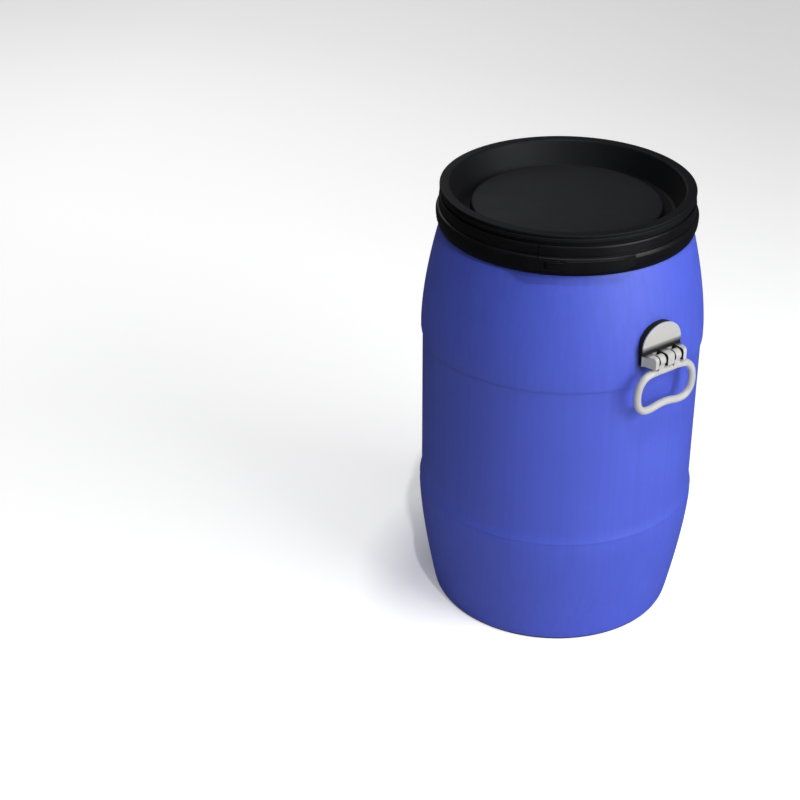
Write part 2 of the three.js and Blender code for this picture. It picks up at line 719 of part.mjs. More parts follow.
// Where the hinge pin lies: closed in by the knuckle at its -Y end, open at its +Y end.
function hingePinSpan() {
  const slope = (BLOCK_BACK_HALF_W - BLOCK_FRONT_HALF_W) / (HINGE_OUT + BLOCK_FRONT);
  const endFaceY = BLOCK_BACK_HALF_W - slope * (HINGE_OUT + HINGE_PIN_R);
  return [-(endFaceY - PIN_END_WALL), endFaceY - CLEAR];
}

function hingePlate(name, group) {
  const plate = outward(plateShape(0), PLATE_BACK_X, PLATE_FRONT_X, 10).add(knuckles());
  const [from] = hingePinSpan();
  const hole = sideways(circle(HINGE_X, HINGE_Z, HINGE_PIN_R + CLEAR), from - CLEAR, PLATE_HALF_W, 8);
  place(name, plate.subtract(hole), greySteel, group);
}

function hingePin(name, group) {
  const [from, to] = hingePinSpan();
  place(name, sideways(circle(HINGE_X, HINGE_Z, HINGE_PIN_R), from, to, 8), zinc, group);
}

// The bail's loop as a closed curve, in the plane of the hinge axis.
function loopCurve() {
  const top = HINGE_Z - BAR_BELOW_HINGE;
  const half = LOOP_HALF_W;
  const right = [
    [half * 0.45, 0],
    [half * 0.74, 3.5],
    [half * 0.93, 16],
    [half, LOOP_DEPTH * 0.53],
    [half * 0.94, LOOP_DEPTH * 0.81],
    [half * 0.76, LOOP_DEPTH - 2],
    [half * 0.52, LOOP_DEPTH],
    [half * 0.22, LOOP_DEPTH - GRIP_WAVE + 1],
  ];
  const left = right.map(([y, down]) => [-y, down]).reverse();
  const points = [[0, 0], ...right, [0, LOOP_DEPTH - GRIP_WAVE], ...left];
  return new THREE.CatmullRomCurve3(
    points.map(([y, down]) => new THREE.Vector3(HINGE_X, y, top - down)),
    true,
    "centripetal",
  );
}

function bailLoop() {
  const geometry = new THREE.ExtrudeGeometry(circle(0, 0, ROD_R), {
    steps: 44,
    curveSegments: 4,
    bevelEnabled: false,
    extrudePath: loopCurve(),
  });
  return solid(geometry);
}

// One arm of the bail: an eye round the hinge pin, with a strap down to the top bar.
function bailArm(from) {
  const eye = sideways(circle(HINGE_X, HINGE_Z, EYE_R), from, from + ARM_W, 10);
  const strap = shapeOf([
    [HINGE_X - ROD_R, HINGE_Z - BAR_BELOW_HINGE],
    [HINGE_X + ROD_R, HINGE_Z - BAR_BELOW_HINGE],
    [HINGE_X + ROD_R, HINGE_Z],
    [HINGE_X - ROD_R, HINGE_Z],
  ]);
  return eye.add(sideways(strap, from, from + ARM_W));
}

function bail(name, group) {
  const whole = joined([bailLoop(), bailArm(ARM_INNER_Y), bailArm(-ARM_INNER_Y - ARM_W)]);
  const hole = sideways(circle(HINGE_X, HINGE_Z, HINGE_PIN_R + CLEAR), -PLATE_HALF_W, PLATE_HALF_W, 8);
  place(name, whole.subtract(hole), greySteel, group);
}

function studShape(hand, radius) {
  return circle(hand * STUD_HALF_SPREAD, STUD_Z, radius);
}

// The clearance holes of a handle's two studs.
function studBores() {
  return joined([1, -1].map((hand) => outward(studShape(hand, STUD_R + CLEAR), NECK_R / 2, HINGE_X, 8)));
}

function packer(name, group) {
  const block = outward(plateShape(PACKER_INSET), NECK_R, PLATE_BACK_X - CLEAR, 10);
  place(name, block.subtract(bodyCore(CLEAR)).subtract(studBores()), rubber, group);
}

function backingPlate(name, group) {
  const outline = shapeOf([
    [-BACKING_HALF_W, STUD_Z - BACKING_HALF_H],
    [BACKING_HALF_W, STUD_Z - BACKING_HALF_H],
    [BACKING_HALF_W, STUD_Z + BACKING_HALF_H],
    [-BACKING_HALF_W, STUD_Z + BACKING_HALF_H],
  ]);
  const outerFace = bodyCore(-WALL - CLEAR);
  const innerFace = bodyCore(-WALL - CLEAR - BACKING_T);
  const block = outward(outline, NECK_R / 2, BELLY_R);
  place(name, block.intersect(outerFace).subtract(innerFace).subtract(studBores()), zinc, group);
}

// The flat against which a nut bears: clear of the curved backing plate at the nut's far corner.
function nutFaceX() {
  const inner = wallRadius(STUD_Z + NUT_R) - WALL - CLEAR - BACKING_T;
  const facet = inner * (1 - Math.cos(Math.PI / SIDES));
  const across = STUD_HALF_SPREAD + NUT_R;
  return Math.sqrt(inner ** 2 - across ** 2) - facet - CLEAR;
}

function studAndNut(side, end, hand, group) {
  const face = nutFaceX();
  const stud = outward(studShape(hand, STUD_R), face - NUT_T - STUD_END, PLATE_BACK_X - CLEAR, 8);
  place(`${side}_stud_${end}`, stud, zinc, group);
  const corners = Array.from({ length: 6 }, (_, i) => {
    const [y, z] = polar(NUT_R, 60 * i);
    return [y + hand * STUD_HALF_SPREAD, z + STUD_Z];
  });
  const bore = outward(studShape(hand, STUD_R + CLEAR), face - NUT_T - BITE, face + BITE, 8);
  place(`${side}_nut_${end}`, outward(shapeOf(corners), face - NUT_T, face).subtract(bore), zinc, group);
}

function handle(side, azimuth) {
  const group = new THREE.Group();
  group.rotation.z = radians(azimuth);
  part.add(group);
  hingePlate(`${side}_hinge_plate`, group);
  hingePin(`${side}_hinge_pin`, group);
  bail(`${side}_bail`, group);
  packer(`${side}_packer`, group);
  backingPlate(`${side}_backing_plate`, group);
  studAndNut(side, "a", 1, group);
  studAndNut(side, "b", -1, group);
}

// ---------------------------------------------------------------- the whole drum

body();
lid();
gasket();
clampRing();
bracket("fulcrum", FULCRUM_AZ, 1, PIVOT_R);
bracket("catch", CATCH_AZ, -1, CATCH_R);
rivets();
lever();
clawLink();
latchPins();
handle("front", 0);
handle("rear", 180);

export default part;
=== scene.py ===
import math

import bmesh
import bpy
from mathutils import Matrix, Vector

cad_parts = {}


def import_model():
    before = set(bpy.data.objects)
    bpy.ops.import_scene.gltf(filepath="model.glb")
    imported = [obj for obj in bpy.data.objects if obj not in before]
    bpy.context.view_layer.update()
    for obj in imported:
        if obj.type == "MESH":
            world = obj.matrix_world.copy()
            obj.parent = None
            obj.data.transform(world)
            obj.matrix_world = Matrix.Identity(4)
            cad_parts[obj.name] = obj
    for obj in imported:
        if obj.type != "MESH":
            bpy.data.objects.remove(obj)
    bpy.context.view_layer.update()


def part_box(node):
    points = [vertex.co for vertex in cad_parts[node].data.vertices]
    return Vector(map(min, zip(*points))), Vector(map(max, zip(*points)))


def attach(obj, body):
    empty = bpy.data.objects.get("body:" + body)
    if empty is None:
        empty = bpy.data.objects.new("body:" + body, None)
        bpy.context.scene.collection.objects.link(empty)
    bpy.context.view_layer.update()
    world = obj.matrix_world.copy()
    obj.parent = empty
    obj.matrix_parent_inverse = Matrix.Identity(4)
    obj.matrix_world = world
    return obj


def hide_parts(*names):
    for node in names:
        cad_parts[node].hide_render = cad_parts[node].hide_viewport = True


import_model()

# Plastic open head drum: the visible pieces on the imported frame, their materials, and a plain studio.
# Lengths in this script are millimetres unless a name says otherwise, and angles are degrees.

MM = 0.001

# ---------------------------------------------------------------- sizes taken from the frame


def box_mm(node):
    low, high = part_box(node)
    return low / MM, high / MM


body_high = box_mm("drum_body")[1]
lid_high = box_mm("lid")[1]
ring_low = box_mm("clamp_ring")[0]
gasket_low, gasket_high = box_mm("lid_gasket")
plate_low, plate_high = box_mm("front_hinge_plate")
hinge_low, hinge_high = box_mm("front_hinge_pin")
backing_low, backing_high = box_mm("front_backing_plate")
stud_low, stud_high = box_mm("front_stud_a")
lever_pin_low, lever_pin_high = box_mm("lever_pin")
link_pin_low, link_pin_high = box_mm("link_pin")
catch_pin_low, catch_pin_high = box_mm("catch_pin")

HEIGHT = lid_high.z
BELLY_R = body_high.x
LID_R = lid_high.x
RING_R = -ring_low.x
LIP_Z = body_high.z
LATCH_Z = link_pin_low.z
LATCH_TOP_Z = link_pin_high.z
HINGE_X = (hinge_low.x + hinge_high.x) / 2
HINGE_Z = (hinge_low.z + hinge_high.z) / 2
HINGE_PIN_R = (hinge_high.z - hinge_low.z) / 2
PLATE_HALF_W = plate_high.y
PLATE_BOTTOM_Z = plate_low.z
PLATE_TOP_Z = plate_high.z
BLOCK_FRONT_X = plate_high.x
PLATE_BACK_X = plate_low.x

# ---------------------------------------------------------------- sizes that the frame doesn't show

SEGMENTS = 192  # round the drum
CLEAR = 0.3
SHARP_ANGLE = 38
BEVEL_ANGLE = 40

WALL = 4
FOOT_R = 218.3
FOOT_ROUND = 4
FOOT_SHADE_HEIGHT = 6  # height of the painted shade line round the foot
FOOT_RING = 22
FOOT_SLOPE = 12
PUSH_UP = 10
BELLY_Z = 212
MIDDLE_R = BELLY_R - 3.8
LOWER_RIDGE_Z = 227
RIDGE_FLARE = 24
RIDGE_LIP = 0.7
UPPER_RIDGE_Z = HEIGHT - 271
SHOULDER_R = BELLY_R - 0.9
SHOULDER_START_Z = UPPER_RIDGE_Z + 11
SHOULDER_END_Z = HEIGHT - 77
SHOULDER_POWER = 1.62
FOOT_POWER = 1.45
NECK_R = LID_R - 6.8
NECK_INNER_R = NECK_R - 4.5
SHOULDER_END_R = NECK_R + 7
BEAD_R = NECK_R + 4.8
BEAD_Z = HEIGHT - 53
BEAD_HALF_H = 5
BEAD_GAP = 1.1  # from the bead to the clamp ring's lower lip

LID_T = 3
LID_SKIRT_Z = HEIGHT - 36
LID_FLANGE_Z = HEIGHT - 22.5
LID_FLOOR_Z = HEIGHT - 45
LID_DISC_Z = HEIGHT - 33
LID_LAND_R = LID_R - 17.3
LID_FLOOR_R = LID_R - 34.3
LID_DISC_R = LID_R - 54.3
SKIRT_INNER_R = NECK_R + 1.1

LATCH_MID = -38
LATCH_HALF_SPAN = 26.7
TAPER_SPAN = 8
STRAP_T = 2.2
STRAP_R = RING_R + 9.5
EAR_T = 2.2
EAR_R = 3.6
EAR_REACH = 3
STRAP_END_OUT = 2.7  # from the ring to the strap's face at its two ends
LEVER_ROOT = 2.5
LEVER_NECK = 13
CLAW_WEB_BACK = 3.4
CLAW_TOE = 3.4
CLAW_FLANGE_OUT = 2.4
NOTCH_DEEP = 0.4
NOTCH_WIDE = 1.2
RING_SPLIT = 1.2
FLANGE_T = 2.7
KNUCKLE_R = 3.2
BRACKET_T = 1.6
RIVET_R = 1.3
RIVET_HEAD_R = 2.4
RIVET_HEAD_T = 0.9
BRACKET_NECK = 7
BRACKET_LENGTH = 13
RIVET_GRIP = 4  # how far a rivet's inner head lies inside the ring's face

PLATE_T = 2.5
PLATE_FRONT_X = PLATE_BACK_X + PLATE_T
PLATE_ARCH_H = 37.5
BLOCK_HALF_H = 10.25
BLOCK_ROUND = 7
BLOCK_BACK_HALF_W = PLATE_HALF_W - 1
BLOCK_FRONT_HALF_W = BLOCK_BACK_HALF_W - 7
CENTRE_KNUCKLE_HALF_W = 8
ARM_INNER_Y = 10.5
ARM_W = 13.5
SIDE_KNUCKLE_Y = 26.5
EYE_R = 9.5
ROD_R = 6.5
BAR_BELOW_HINGE = 21.5
LOOP_HALF_W = 62
LOOP_DEPTH = 67.5
GRIP_WAVE = 4
PACKER_INSET = 1
BACKING_T = 2.5
BACKING_ROUND = 5
NUT_BEVEL = 1.1
PIN_EDGE = 0.6
LATCH_PIN_EDGE = 0.3

# ---------------------------------------------------------------- painted shade in creases, gaps and on the wall, and the studio

WALL_SHADE_SIDE = 9  # how far the painted shade on the wall behind a hinge plate reaches past it
WALL_SHADE_BELOW = 15
WALL_SHADE_TOP = 26  # above the hinge's axis
# reach and core of the painted shade in the crease above each hinge block
CREASE_SHADE_REACH = 12
CREASE_SHADE_CORE = 3
# the painted shade in the gaps between the knuckles and the bail arms lies at these sideways places
KNUCKLE_GAPS = ((CENTRE_KNUCKLE_HALF_W + ARM_INNER_Y) / 2, (ARM_INNER_Y + ARM_W + SIDE_KNUCKLE_Y) / 2)
GAP_HALF_W = 2
GAP_DEPTH = 26  # from the block's top to the lowest painted shade of the gaps

FLOOR_HALF_M = 30
TOWARD_BACK = (-0.518, 0.855)
TOWARD_LEFT = (-0.665, -0.747)
LEEWARD = (-0.966, -0.259)
WORLD_STRENGTH = 0.035
LIGHT_TARGET_M = (0, 0, 0.4)
CAMERA_PLACE_M = (2.124143, -1.895065, 1.98994)
CAMERA_TURNS = (("Z", 54.027), ("X", 60.324), ("Z", -0.105))
CAMERA_LENS = 80.8
CAMERA_SENSOR_W = 36

# ---------------------------------------------------------------- mesh helpers


def radial(radius, azimuth, z=0.0):
    a = math.radians(azimuth)
    return Vector((radius * math.cos(a), radius * math.sin(a), z))


def new_piece(name, vertices, faces, smooth=True):
    """A mesh object from points in millimetres, with its faces turned outward."""
    mesh = bpy.data.meshes.new(name)
    mesh.from_pydata([Vector(v) * MM for v in vertices], [], faces)
    made = bmesh.new()
    made.from_mesh(mesh)
    bmesh.ops.remove_doubles(made, verts=made.verts, dist=1e-6)
    bmesh.ops.recalc_face_normals(made, faces=made.faces)
    made.to_mesh(mesh)
    made.free()
    obj = bpy.data.objects.new(name, mesh)
    bpy.context.scene.collection.objects.link(obj)
    if smooth:
        soften(obj)
    return obj


def soften(obj):
    obj.data.shade_smooth()
    obj.data.set_sharp_from_angle(angle=math.radians(SHARP_ANGLE))


def filleted(outline, steps=4):
    """An outline of (u, v, radius) corners, with each corner turned into an arc."""
    points = []
    count = len(outline)
    for i, (u, v, radius) in enumerate(outline):
        corner = Vector((u, v))
        before = Vector(outline[i - 1][:2]) - corner
        after = Vector(outline[(i + 1) % count][:2]) - corner
        half = before.angle(after) / 2 if before.length and after.length else math.pi / 2
        if radius <= 0 or half > math.radians(88):
            points.append(corner)
            continue
        reach = min(radius / math.tan(half), 0.48 * before.length, 0.48 * after.length)
        start = corner + before.normalized() * reach
        end = corner + after.normalized() * reach
        for step in range(steps + 1):
            t = step / steps
            bow = start.lerp(corner, t).lerp(corner.lerp(end, t), t)
            points.append(bow)
    return [(p.x, p.y) for p in points]


def lathe(name, outline, segments=SEGMENTS, start=0.0, end=360.0):
    """Turns a closed outline of (radius, height) about Z, all the way round or as a split hoop."""
    whole = abs(end - start) >= 360
    columns = segments if whole else segments + 1
    rows = len(outline)
    vertices = []
    for column in range(columns):
        azimuth = start + (end - start) * column / segments
        vertices += [radial(r, azimuth, z) for r, z in outline]
    faces = []
    for column in range(segments):
        here = column * rows
        there = (column + 1) % columns * rows
        for row in range(rows):
            up = (row + 1) % rows
            quad = [here + row, there + row, there + up, here + up]
            axis = [outline[row][0] < 1e-6, outline[up][0] < 1e-6]
            if all(axis):
                continue
            if axis[0]:
                quad = quad[1:]
            elif axis[1]:
                quad = quad[:3]
            faces.append(quad)
    if not whole:
        faces.append(list(range(rows)))
        faces.append([segments * rows + row for row in reversed(range(rows))])
    return new_piece(name, vertices, faces)


PLAN = Matrix.Identity(3)
ALONG_X = Matrix(((0, 0, 1), (1, 0, 0), (0, 1, 0)))
ALONG_Y = Matrix(((1, 0, 0), (0, 0, 1), (0, 1, 0)))


def prism(name, outline, low, high, turn=PLAN, edge=0.0):
    """A flat outline, extruded from low to high along the turned third axis, with softened edges."""
    count = len(outline)
    vertices = [turn @ Vector((u, v, w)) for w in (low, high) for u, v in outline]
    faces = [list(range(count)), list(range(count, 2 * count))]
    faces += [[i, (i + 1) % count, count + (i + 1) % count, count + i] for i in range(count)]
    obj = new_piece(name, vertices, faces, smooth=False)
    if edge:
        bevel(obj, edge)
    return obj


def bevel(obj, width):
    modifier = obj.modifiers.new("edges", "BEVEL")
    modifier.width = width * MM
    modifier.segments = 3
    modifier.limit_method = "ANGLE"
    modifier.angle_limit = math.radians(BEVEL_ANGLE)
    settle(obj)


def settle(obj):
    """Applies an object's modifiers to its mesh."""
    bpy.context.view_layer.update()
    depsgraph = bpy.context.evaluated_depsgraph_get()
    mesh = bpy.data.meshes.new_from_object(obj.evaluated_get(depsgraph))
    old = obj.data
    obj.modifiers.clear()
    obj.data = mesh
    bpy.data.meshes.remove(old)


def combine(target, others, operation):
    for other in others:
        modifier = target.modifiers.new("combine", "BOOLEAN")
        modifier.operation = operation
        modifier.object = other
        modifier.solver = "EXACT"
        settle(target)
        bpy.data.objects.remove(other)
    soften(target)
    even_normals(target)
    return target


def even_normals(obj):
    modifier = obj.modifiers.new("even_normals", "WEIGHTED_NORMAL")
    modifier.keep_sharp = True


def circle(u, v, radius, count=32):
    turns = [2 * math.pi * i / count for i in range(count)]
    return [(u + radius * math.cos(t), v + radius * math.sin(t)) for t in turns]


def ring_sector(inner, outer, start, end, step=1.0):
    """A plan outline between two radii, each a number or a function of the azimuth."""
    count = max(2, math.ceil(abs(end - start) / step))
    angles = [start + (end - start) * i / count for i in range(count + 1)]
    outside = [radial(outer(a) if callable(outer) else outer, a) for a in angles]
    inside = [radial(inner(a) if callable(inner) else inner, a) for a in reversed(angles)]
    return [(p.x, p.y) for p in outside + inside]


def place_of(low, high):
    """Azimuth and radius of an upright pin's axis."""
    middle = (low + high) / 2
    return math.degrees(math.atan2(middle.y, middle.x)), math.hypot(middle.x, middle.y)


def along_ring(length):
    return math.degrees(length / LEVER_PIVOT_R)


FULCRUM_AZ, LEVER_PIVOT_R = place_of(lever_pin_low, lever_pin_high)
LINK_PIN_AZ, LINK_PIVOT_R = place_of(link_pin_low, link_pin_high)
CATCH_AZ, CATCH_R = place_of(catch_pin_low, catch_pin_high)
LATCH_PIN_R = (lever_pin_high.x - lever_pin_low.x) / 2
EAR_Z = lever_pin_low.z
EAR_TOP_Z = lever_pin_high.z
KNUCKLE_Z = EAR_Z + EAR_T + CLEAR
KNUCKLE_TOP_Z = EAR_TOP_Z - EAR_T - CLEAR

# ---------------------------------------------------------------- materials


class Shader:
    """A Principled material with short calls for its procedural nodes."""

    def __init__(self, name, color, roughness, **settings):
        self.material = bpy.data.materials.new(name)
        self.material.use_nodes = True
        self.nodes = self.material.node_tree.nodes
        self.links = self.material.node_tree.links
        self.shader = self.nodes["Principled BSDF"]
        self.shader.inputs["Base Color"].default_value = (*color, 1)
        self.shader.inputs["Roughness"].default_value = roughness
        for key, value in settings.items():
            self.shader.inputs[key.replace("_", " ")].default_value = value
        self.where = self.nodes.new("ShaderNodeTexCoord").outputs["Object"]
        split = self.node("ShaderNodeSeparateXYZ", Vector=self.where)
        self.x, self.y, self.height = split.outputs[:]

    def node(self, kind, **inputs):
        made = self.nodes.new(kind)
        for key, value in inputs.items():
            socket = made.inputs[key.replace("_", " ")]
            if isinstance(value, bpy.types.NodeSocket):
                self.links.new(value, socket)
            else:
                socket.default_value = value
        return made

    def stretched(self, x, y, z):
        made = self.node("ShaderNodeMapping", Vector=self.where)
        made.inputs["Scale"].default_value = (x, y, z)
        return made.outputs["Vector"]

    def noise(self, scale, detail=3.0, roughness=0.55, vector=None):
        made = self.node(
            "ShaderNodeTexNoise",
            Vector=vector or self.where,
            Scale=scale,
            Detail=detail,
            Roughness=roughness,
        )
        return made.outputs["Fac"]

    def cells(self, scale):
        made = self.node("ShaderNodeTexVoronoi", Vector=self.where, Scale=scale)
        return made.outputs["Distance"]

    def ranged(self, value, low, high, to_low=0.0, to_high=1.0):
        made = self.nodes.new("ShaderNodeMapRange")
        self.links.new(value, made.inputs["Value"])
        made.inputs["From Min"].default_value = low
        made.inputs["From Max"].default_value = high
        made.inputs["To Min"].default_value = to_low
        made.inputs["To Max"].default_value = to_high
        return made.outputs["Result"]

    def math(self, operation, a, b):
        made = self.nodes.new("ShaderNodeMath")
        made.operation = operation
        for socket, value in zip(made.inputs, (a, b)):
            if isinstance(value, bpy.types.NodeSocket):
                self.links.new(value, socket)
            else:
                socket.default_value = value
        return made.outputs["Value"]

    def product(self, first, *others):
        for other in others:
            first = self.math("MULTIPLY", first, other)
        return first

    def distance(self, a, b):
        squares = self.math("ADD", self.math("MULTIPLY", a, a), self.math("MULTIPLY", b, b))
        return self.math("SQRT", squares, 0.0)

    def along(self, direction):
        """How far a point lies from the origin along a flat direction."""
        x, y = direction
        return self.math("ADD", self.math("MULTIPLY", self.x, x), self.math("MULTIPLY", self.y, y))

    def around(self, value, middle, half):
        """One within half of the middle, and zero a little beyond it."""
        away = self.math("ABSOLUTE", self.math("SUBTRACT", value, middle), 0.0)
        return self.ranged(away, half + 0.3 * MM, half - 0.1 * MM)

    def mixed(self, factor, a, b):
        made = self.nodes.new("ShaderNodeMix")
        made.data_type = "RGBA"
        self.links.new(factor, made.inputs["Factor"])
        colors = [s for s in made.inputs if s.type == "RGBA"]
        for socket, value in zip(colors, (a, b)):
            if isinstance(value, bpy.types.NodeSocket):
                self.links.new(value, socket)
            else:
                socket.default_value = (*value, 1)
        return [s for s in made.outputs if s.type == "RGBA"][0]

    def color(self, socket):
        self.links.new(socket, self.shader.inputs["Base Color"])

    def roughness(self, socket):
        self.links.new(socket, self.shader.inputs["Roughness"])

    def bumps(self, *layers):
        """Layers of (height socket, depth in millimetres), one on top of the other."""
        normal = None
        for height, depth in layers:
            made = self.node("ShaderNodeBump", Height=height)
            made.inputs["Strength"].default_value = 1.0
            made.inputs["Distance"].default_value = depth * MM
            if normal is not None:
                self.links.new(normal, made.inputs["Normal"])
            normal = made.outputs["Normal"]
        self.links.new(normal, self.shader.inputs["Normal"])


def blue_polyethylene():
    s = Shader("blue_polyethylene", (0.060, 0.102, 0.68), 0.5, Specular_IOR_Level=0.8)
    streaks = s.noise(1.0, 2.0, 0.5, s.stretched(130, 130, 0.6))
    clouds = s.noise(7.0, 3.0)
    tone = s.ranged(s.math("ADD", streaks, s.math("MULTIPLY", clouds, 0.5)), 0.45, 1.05)
    plain = s.mixed(tone, (0.055, 0.096, 0.645), (0.065, 0.110, 0.715))
    # painted shade: a near-black band round the bottom of the foot, for the contact shadow under its
    # rounded edge
    painted_foot_shade = s.ranged(s.height, FOOT_SHADE_HEIGHT * MM, 0.4 * FOOT_SHADE_HEIGHT * MM)
    # painted shade: the blue wall is made near black around and below each hinge plate, where the plate
    # and block shade the body
    across = s.math("ABSOLUTE", s.y, 0.0)
    beside = s.ranged(across, (PLATE_HALF_W + WALL_SHADE_SIDE) * MM, (PLATE_HALF_W - 1) * MM)
    lowest = PLATE_BOTTOM_Z - WALL_SHADE_BELOW
    below = s.ranged(s.height, lowest * MM, (PLATE_BOTTOM_Z - 1) * MM)
    highest = HINGE_Z + WALL_SHADE_TOP
    above = s.ranged(s.height, highest * MM, (highest - 12) * MM)
    painted_wall_shade = s.product(beside, below, above, 0.9)
    s.color(s.mixed(s.math("MAXIMUM", painted_foot_shade, painted_wall_shade), plain, (0.004, 0.005, 0.03)))
    scuffs = s.noise(1.0, 5.0, 0.65, s.stretched(60, 60, 420))
    s.roughness(s.ranged(s.math("MULTIPLY", scuffs, clouds), 0.16, 0.36, 0.54, 0.64))
    s.bumps((streaks, 0.03), (s.noise(520.0, 2.0), 0.04), (s.noise(26.0, 2.0), 0.12))
    return s.material


def black_plastic():
    s = Shader("black_plastic", (0.007, 0.0075, 0.009), 0.55, Specular_IOR_Level=0.2)
    clouds = s.noise(11.0, 4.0)
    dust = s.ranged(s.noise(260.0, 4.0, 0.7), 0.55, 0.85)
    base = s.mixed(clouds, (0.0050, 0.0053, 0.0066), (0.0070, 0.0074, 0.0090))
    # painted sheen: the lid's centre disc is made lighter than the rest, standing for its reflection of
    # light from above
    painted_disc_sheen = s.ranged(s.distance(s.x, s.y), LID_DISC_R * MM, (LID_DISC_R - 6) * MM)
    base = s.mixed(painted_disc_sheen, base, (0.0160, 0.0165, 0.0195))
    s.color(s.mixed(s.math("MULTIPLY", dust, 0.06), base, (0.10, 0.10, 0.105)))
    s.roughness(s.ranged(clouds, 0.3, 0.7, 0.50, 0.62))
    s.bumps((s.cells(1100.0), 0.05), (s.noise(34.0, 2.0), 0.15))
    return s.material


def black_enamel():
    s = Shader("black_enamel", (0.009, 0.009, 0.010), 0.42, Specular_IOR_Level=0.3)
    clouds = s.noise(16.0, 4.0)
    s.color(s.mixed(clouds, (0.0032, 0.0032, 0.0042), (0.0062, 0.0062, 0.0076)))
    rubs = s.noise(1.0, 4.0, 0.6, s.stretched(30, 30, 900))
    s.roughness(s.ranged(s.math("MULTIPLY", rubs, clouds), 0.12, 0.4, 0.34, 0.5))
    s.bumps((s.noise(420.0, 2.0), 0.03),)
    return s.material


def grey_enamel():
    s = Shader("grey_enamel", (0.53, 0.525, 0.52), 0.36, Specular_IOR_Level=0.5)
    clouds = s.noise(30.0, 4.0)
    plain = s.mixed(clouds, (0.50, 0.497, 0.49), (0.58, 0.577, 0.57))
    # painted shade: the grey is made near black in the crease just above the hinge block
    across = s.math("ABSOLUTE", s.y, 0.0)
    out = s.math("SUBTRACT", s.math("ABSOLUTE", s.x, 0.0), PLATE_FRONT_X * MM)
    up = s.math("SUBTRACT", s.height, (HINGE_Z + BLOCK_HALF_H) * MM)
    near = s.ranged(s.distance(out, up), CREASE_SHADE_REACH * MM, CREASE_SHADE_CORE * MM)
    painted_crease_shade = s.math("POWER", s.product(near, s.ranged(up, -4 * MM, -2 * MM)), 0.55)
    # painted shade: near-black strips where the gaps between the knuckles and arms fall in shade
    painted_gap_shade = s.math("ADD", *[s.around(across, middle * MM, GAP_HALF_W * MM) for middle in KNUCKLE_GAPS])
    above_foot = s.ranged(up, -GAP_DEPTH * MM, (2 - GAP_DEPTH) * MM)
    painted_gap_shade = s.product(painted_gap_shade, above_foot, s.ranged(up, 0.8 * MM, 0.2 * MM))
    # both painted shades take the grey enamel to near black
    painted_shade = s.math("MAXIMUM", s.product(painted_crease_shade, 0.98), s.product(painted_gap_shade, 0.97))
    s.color(s.mixed(painted_shade, plain, (0.004, 0.004, 0.005)))
    s.roughness(s.ranged(s.noise(90.0, 4.0), 0.3, 0.7, 0.30, 0.46))
    s.bumps((s.noise(380.0, 2.0), 0.04), (s.noise(60.0, 2.0), 0.08))
    return s.material


def zinc_plate():
    s = Shader("zinc_plate", (0.55, 0.56, 0.58), 0.35, Metallic=1.0)
    patches = s.cells(140.0)
    s.color(s.mixed(patches, (0.46, 0.47, 0.50), (0.66, 0.66, 0.67)))
    s.roughness(s.ranged(s.noise(210.0, 4.0), 0.3, 0.7, 0.26, 0.48))
    s.bumps((s.noise(600.0, 3.0), 0.02),)
    return s.material


def black_rubber():
    s = Shader("black_rubber", (0.012, 0.012, 0.012), 0.85, Specular_IOR_Level=0.25)
    bloom = s.noise(45.0, 4.0)
    s.color(s.mixed(bloom, (0.009, 0.009, 0.009), (0.018, 0.018, 0.017)))
    s.roughness(s.ranged(bloom, 0.3, 0.7, 0.78, 0.92))
    s.bumps((s.cells(900.0), 0.04),)
    return s.material


MATERIALS = {
    "blue_body": blue_polyethylene(),
    "black_lid": black_plastic(),
    "black_ring": black_enamel(),
    "grey_handle": grey_enamel(),
    "zinc_fixings": zinc_plate(),
    "rubber": black_rubber(),
}


def fit(obj, body, slot, *nodes):
    """Gives a piece its material, and lets it stand for CAD nodes on a body."""
    obj.data.materials.clear()
    obj.data.materials.append(MATERIALS[slot])
    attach(obj, body)
    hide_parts(*nodes)


# ---------------------------------------------------------------- body


def barrel_radius(z):
    if z < BELLY_Z:
        up = (BELLY_Z - z) / BELLY_Z
        return BELLY_R - (BELLY_R - FOOT_R) * up**FOOT_POWER
    if z < LOWER_RIDGE_Z:
        return BELLY_R
    if z < UPPER_RIDGE_Z:
        return MIDDLE_R
    if z < SHOULDER_START_Z:
        return SHOULDER_R
    up = (z - SHOULDER_START_Z) / (SHOULDER_END_Z - SHOULDER_START_Z)
    return SHOULDER_R - (SHOULDER_R - SHOULDER_END_R) * up**SHOULDER_POWER


def flared_radius(z):
    """The straight band's radius as it flares out to the belly over the lower ridge."""
    down = 1 - (z - LOWER_RIDGE_Z) / RIDGE_FLARE
    return MIDDLE_R + (BELLY_R - MIDDLE_R) * down * down


def spread(start, end, steps):
    return [start + (end - start) * i / steps for i in range(steps + 1)]


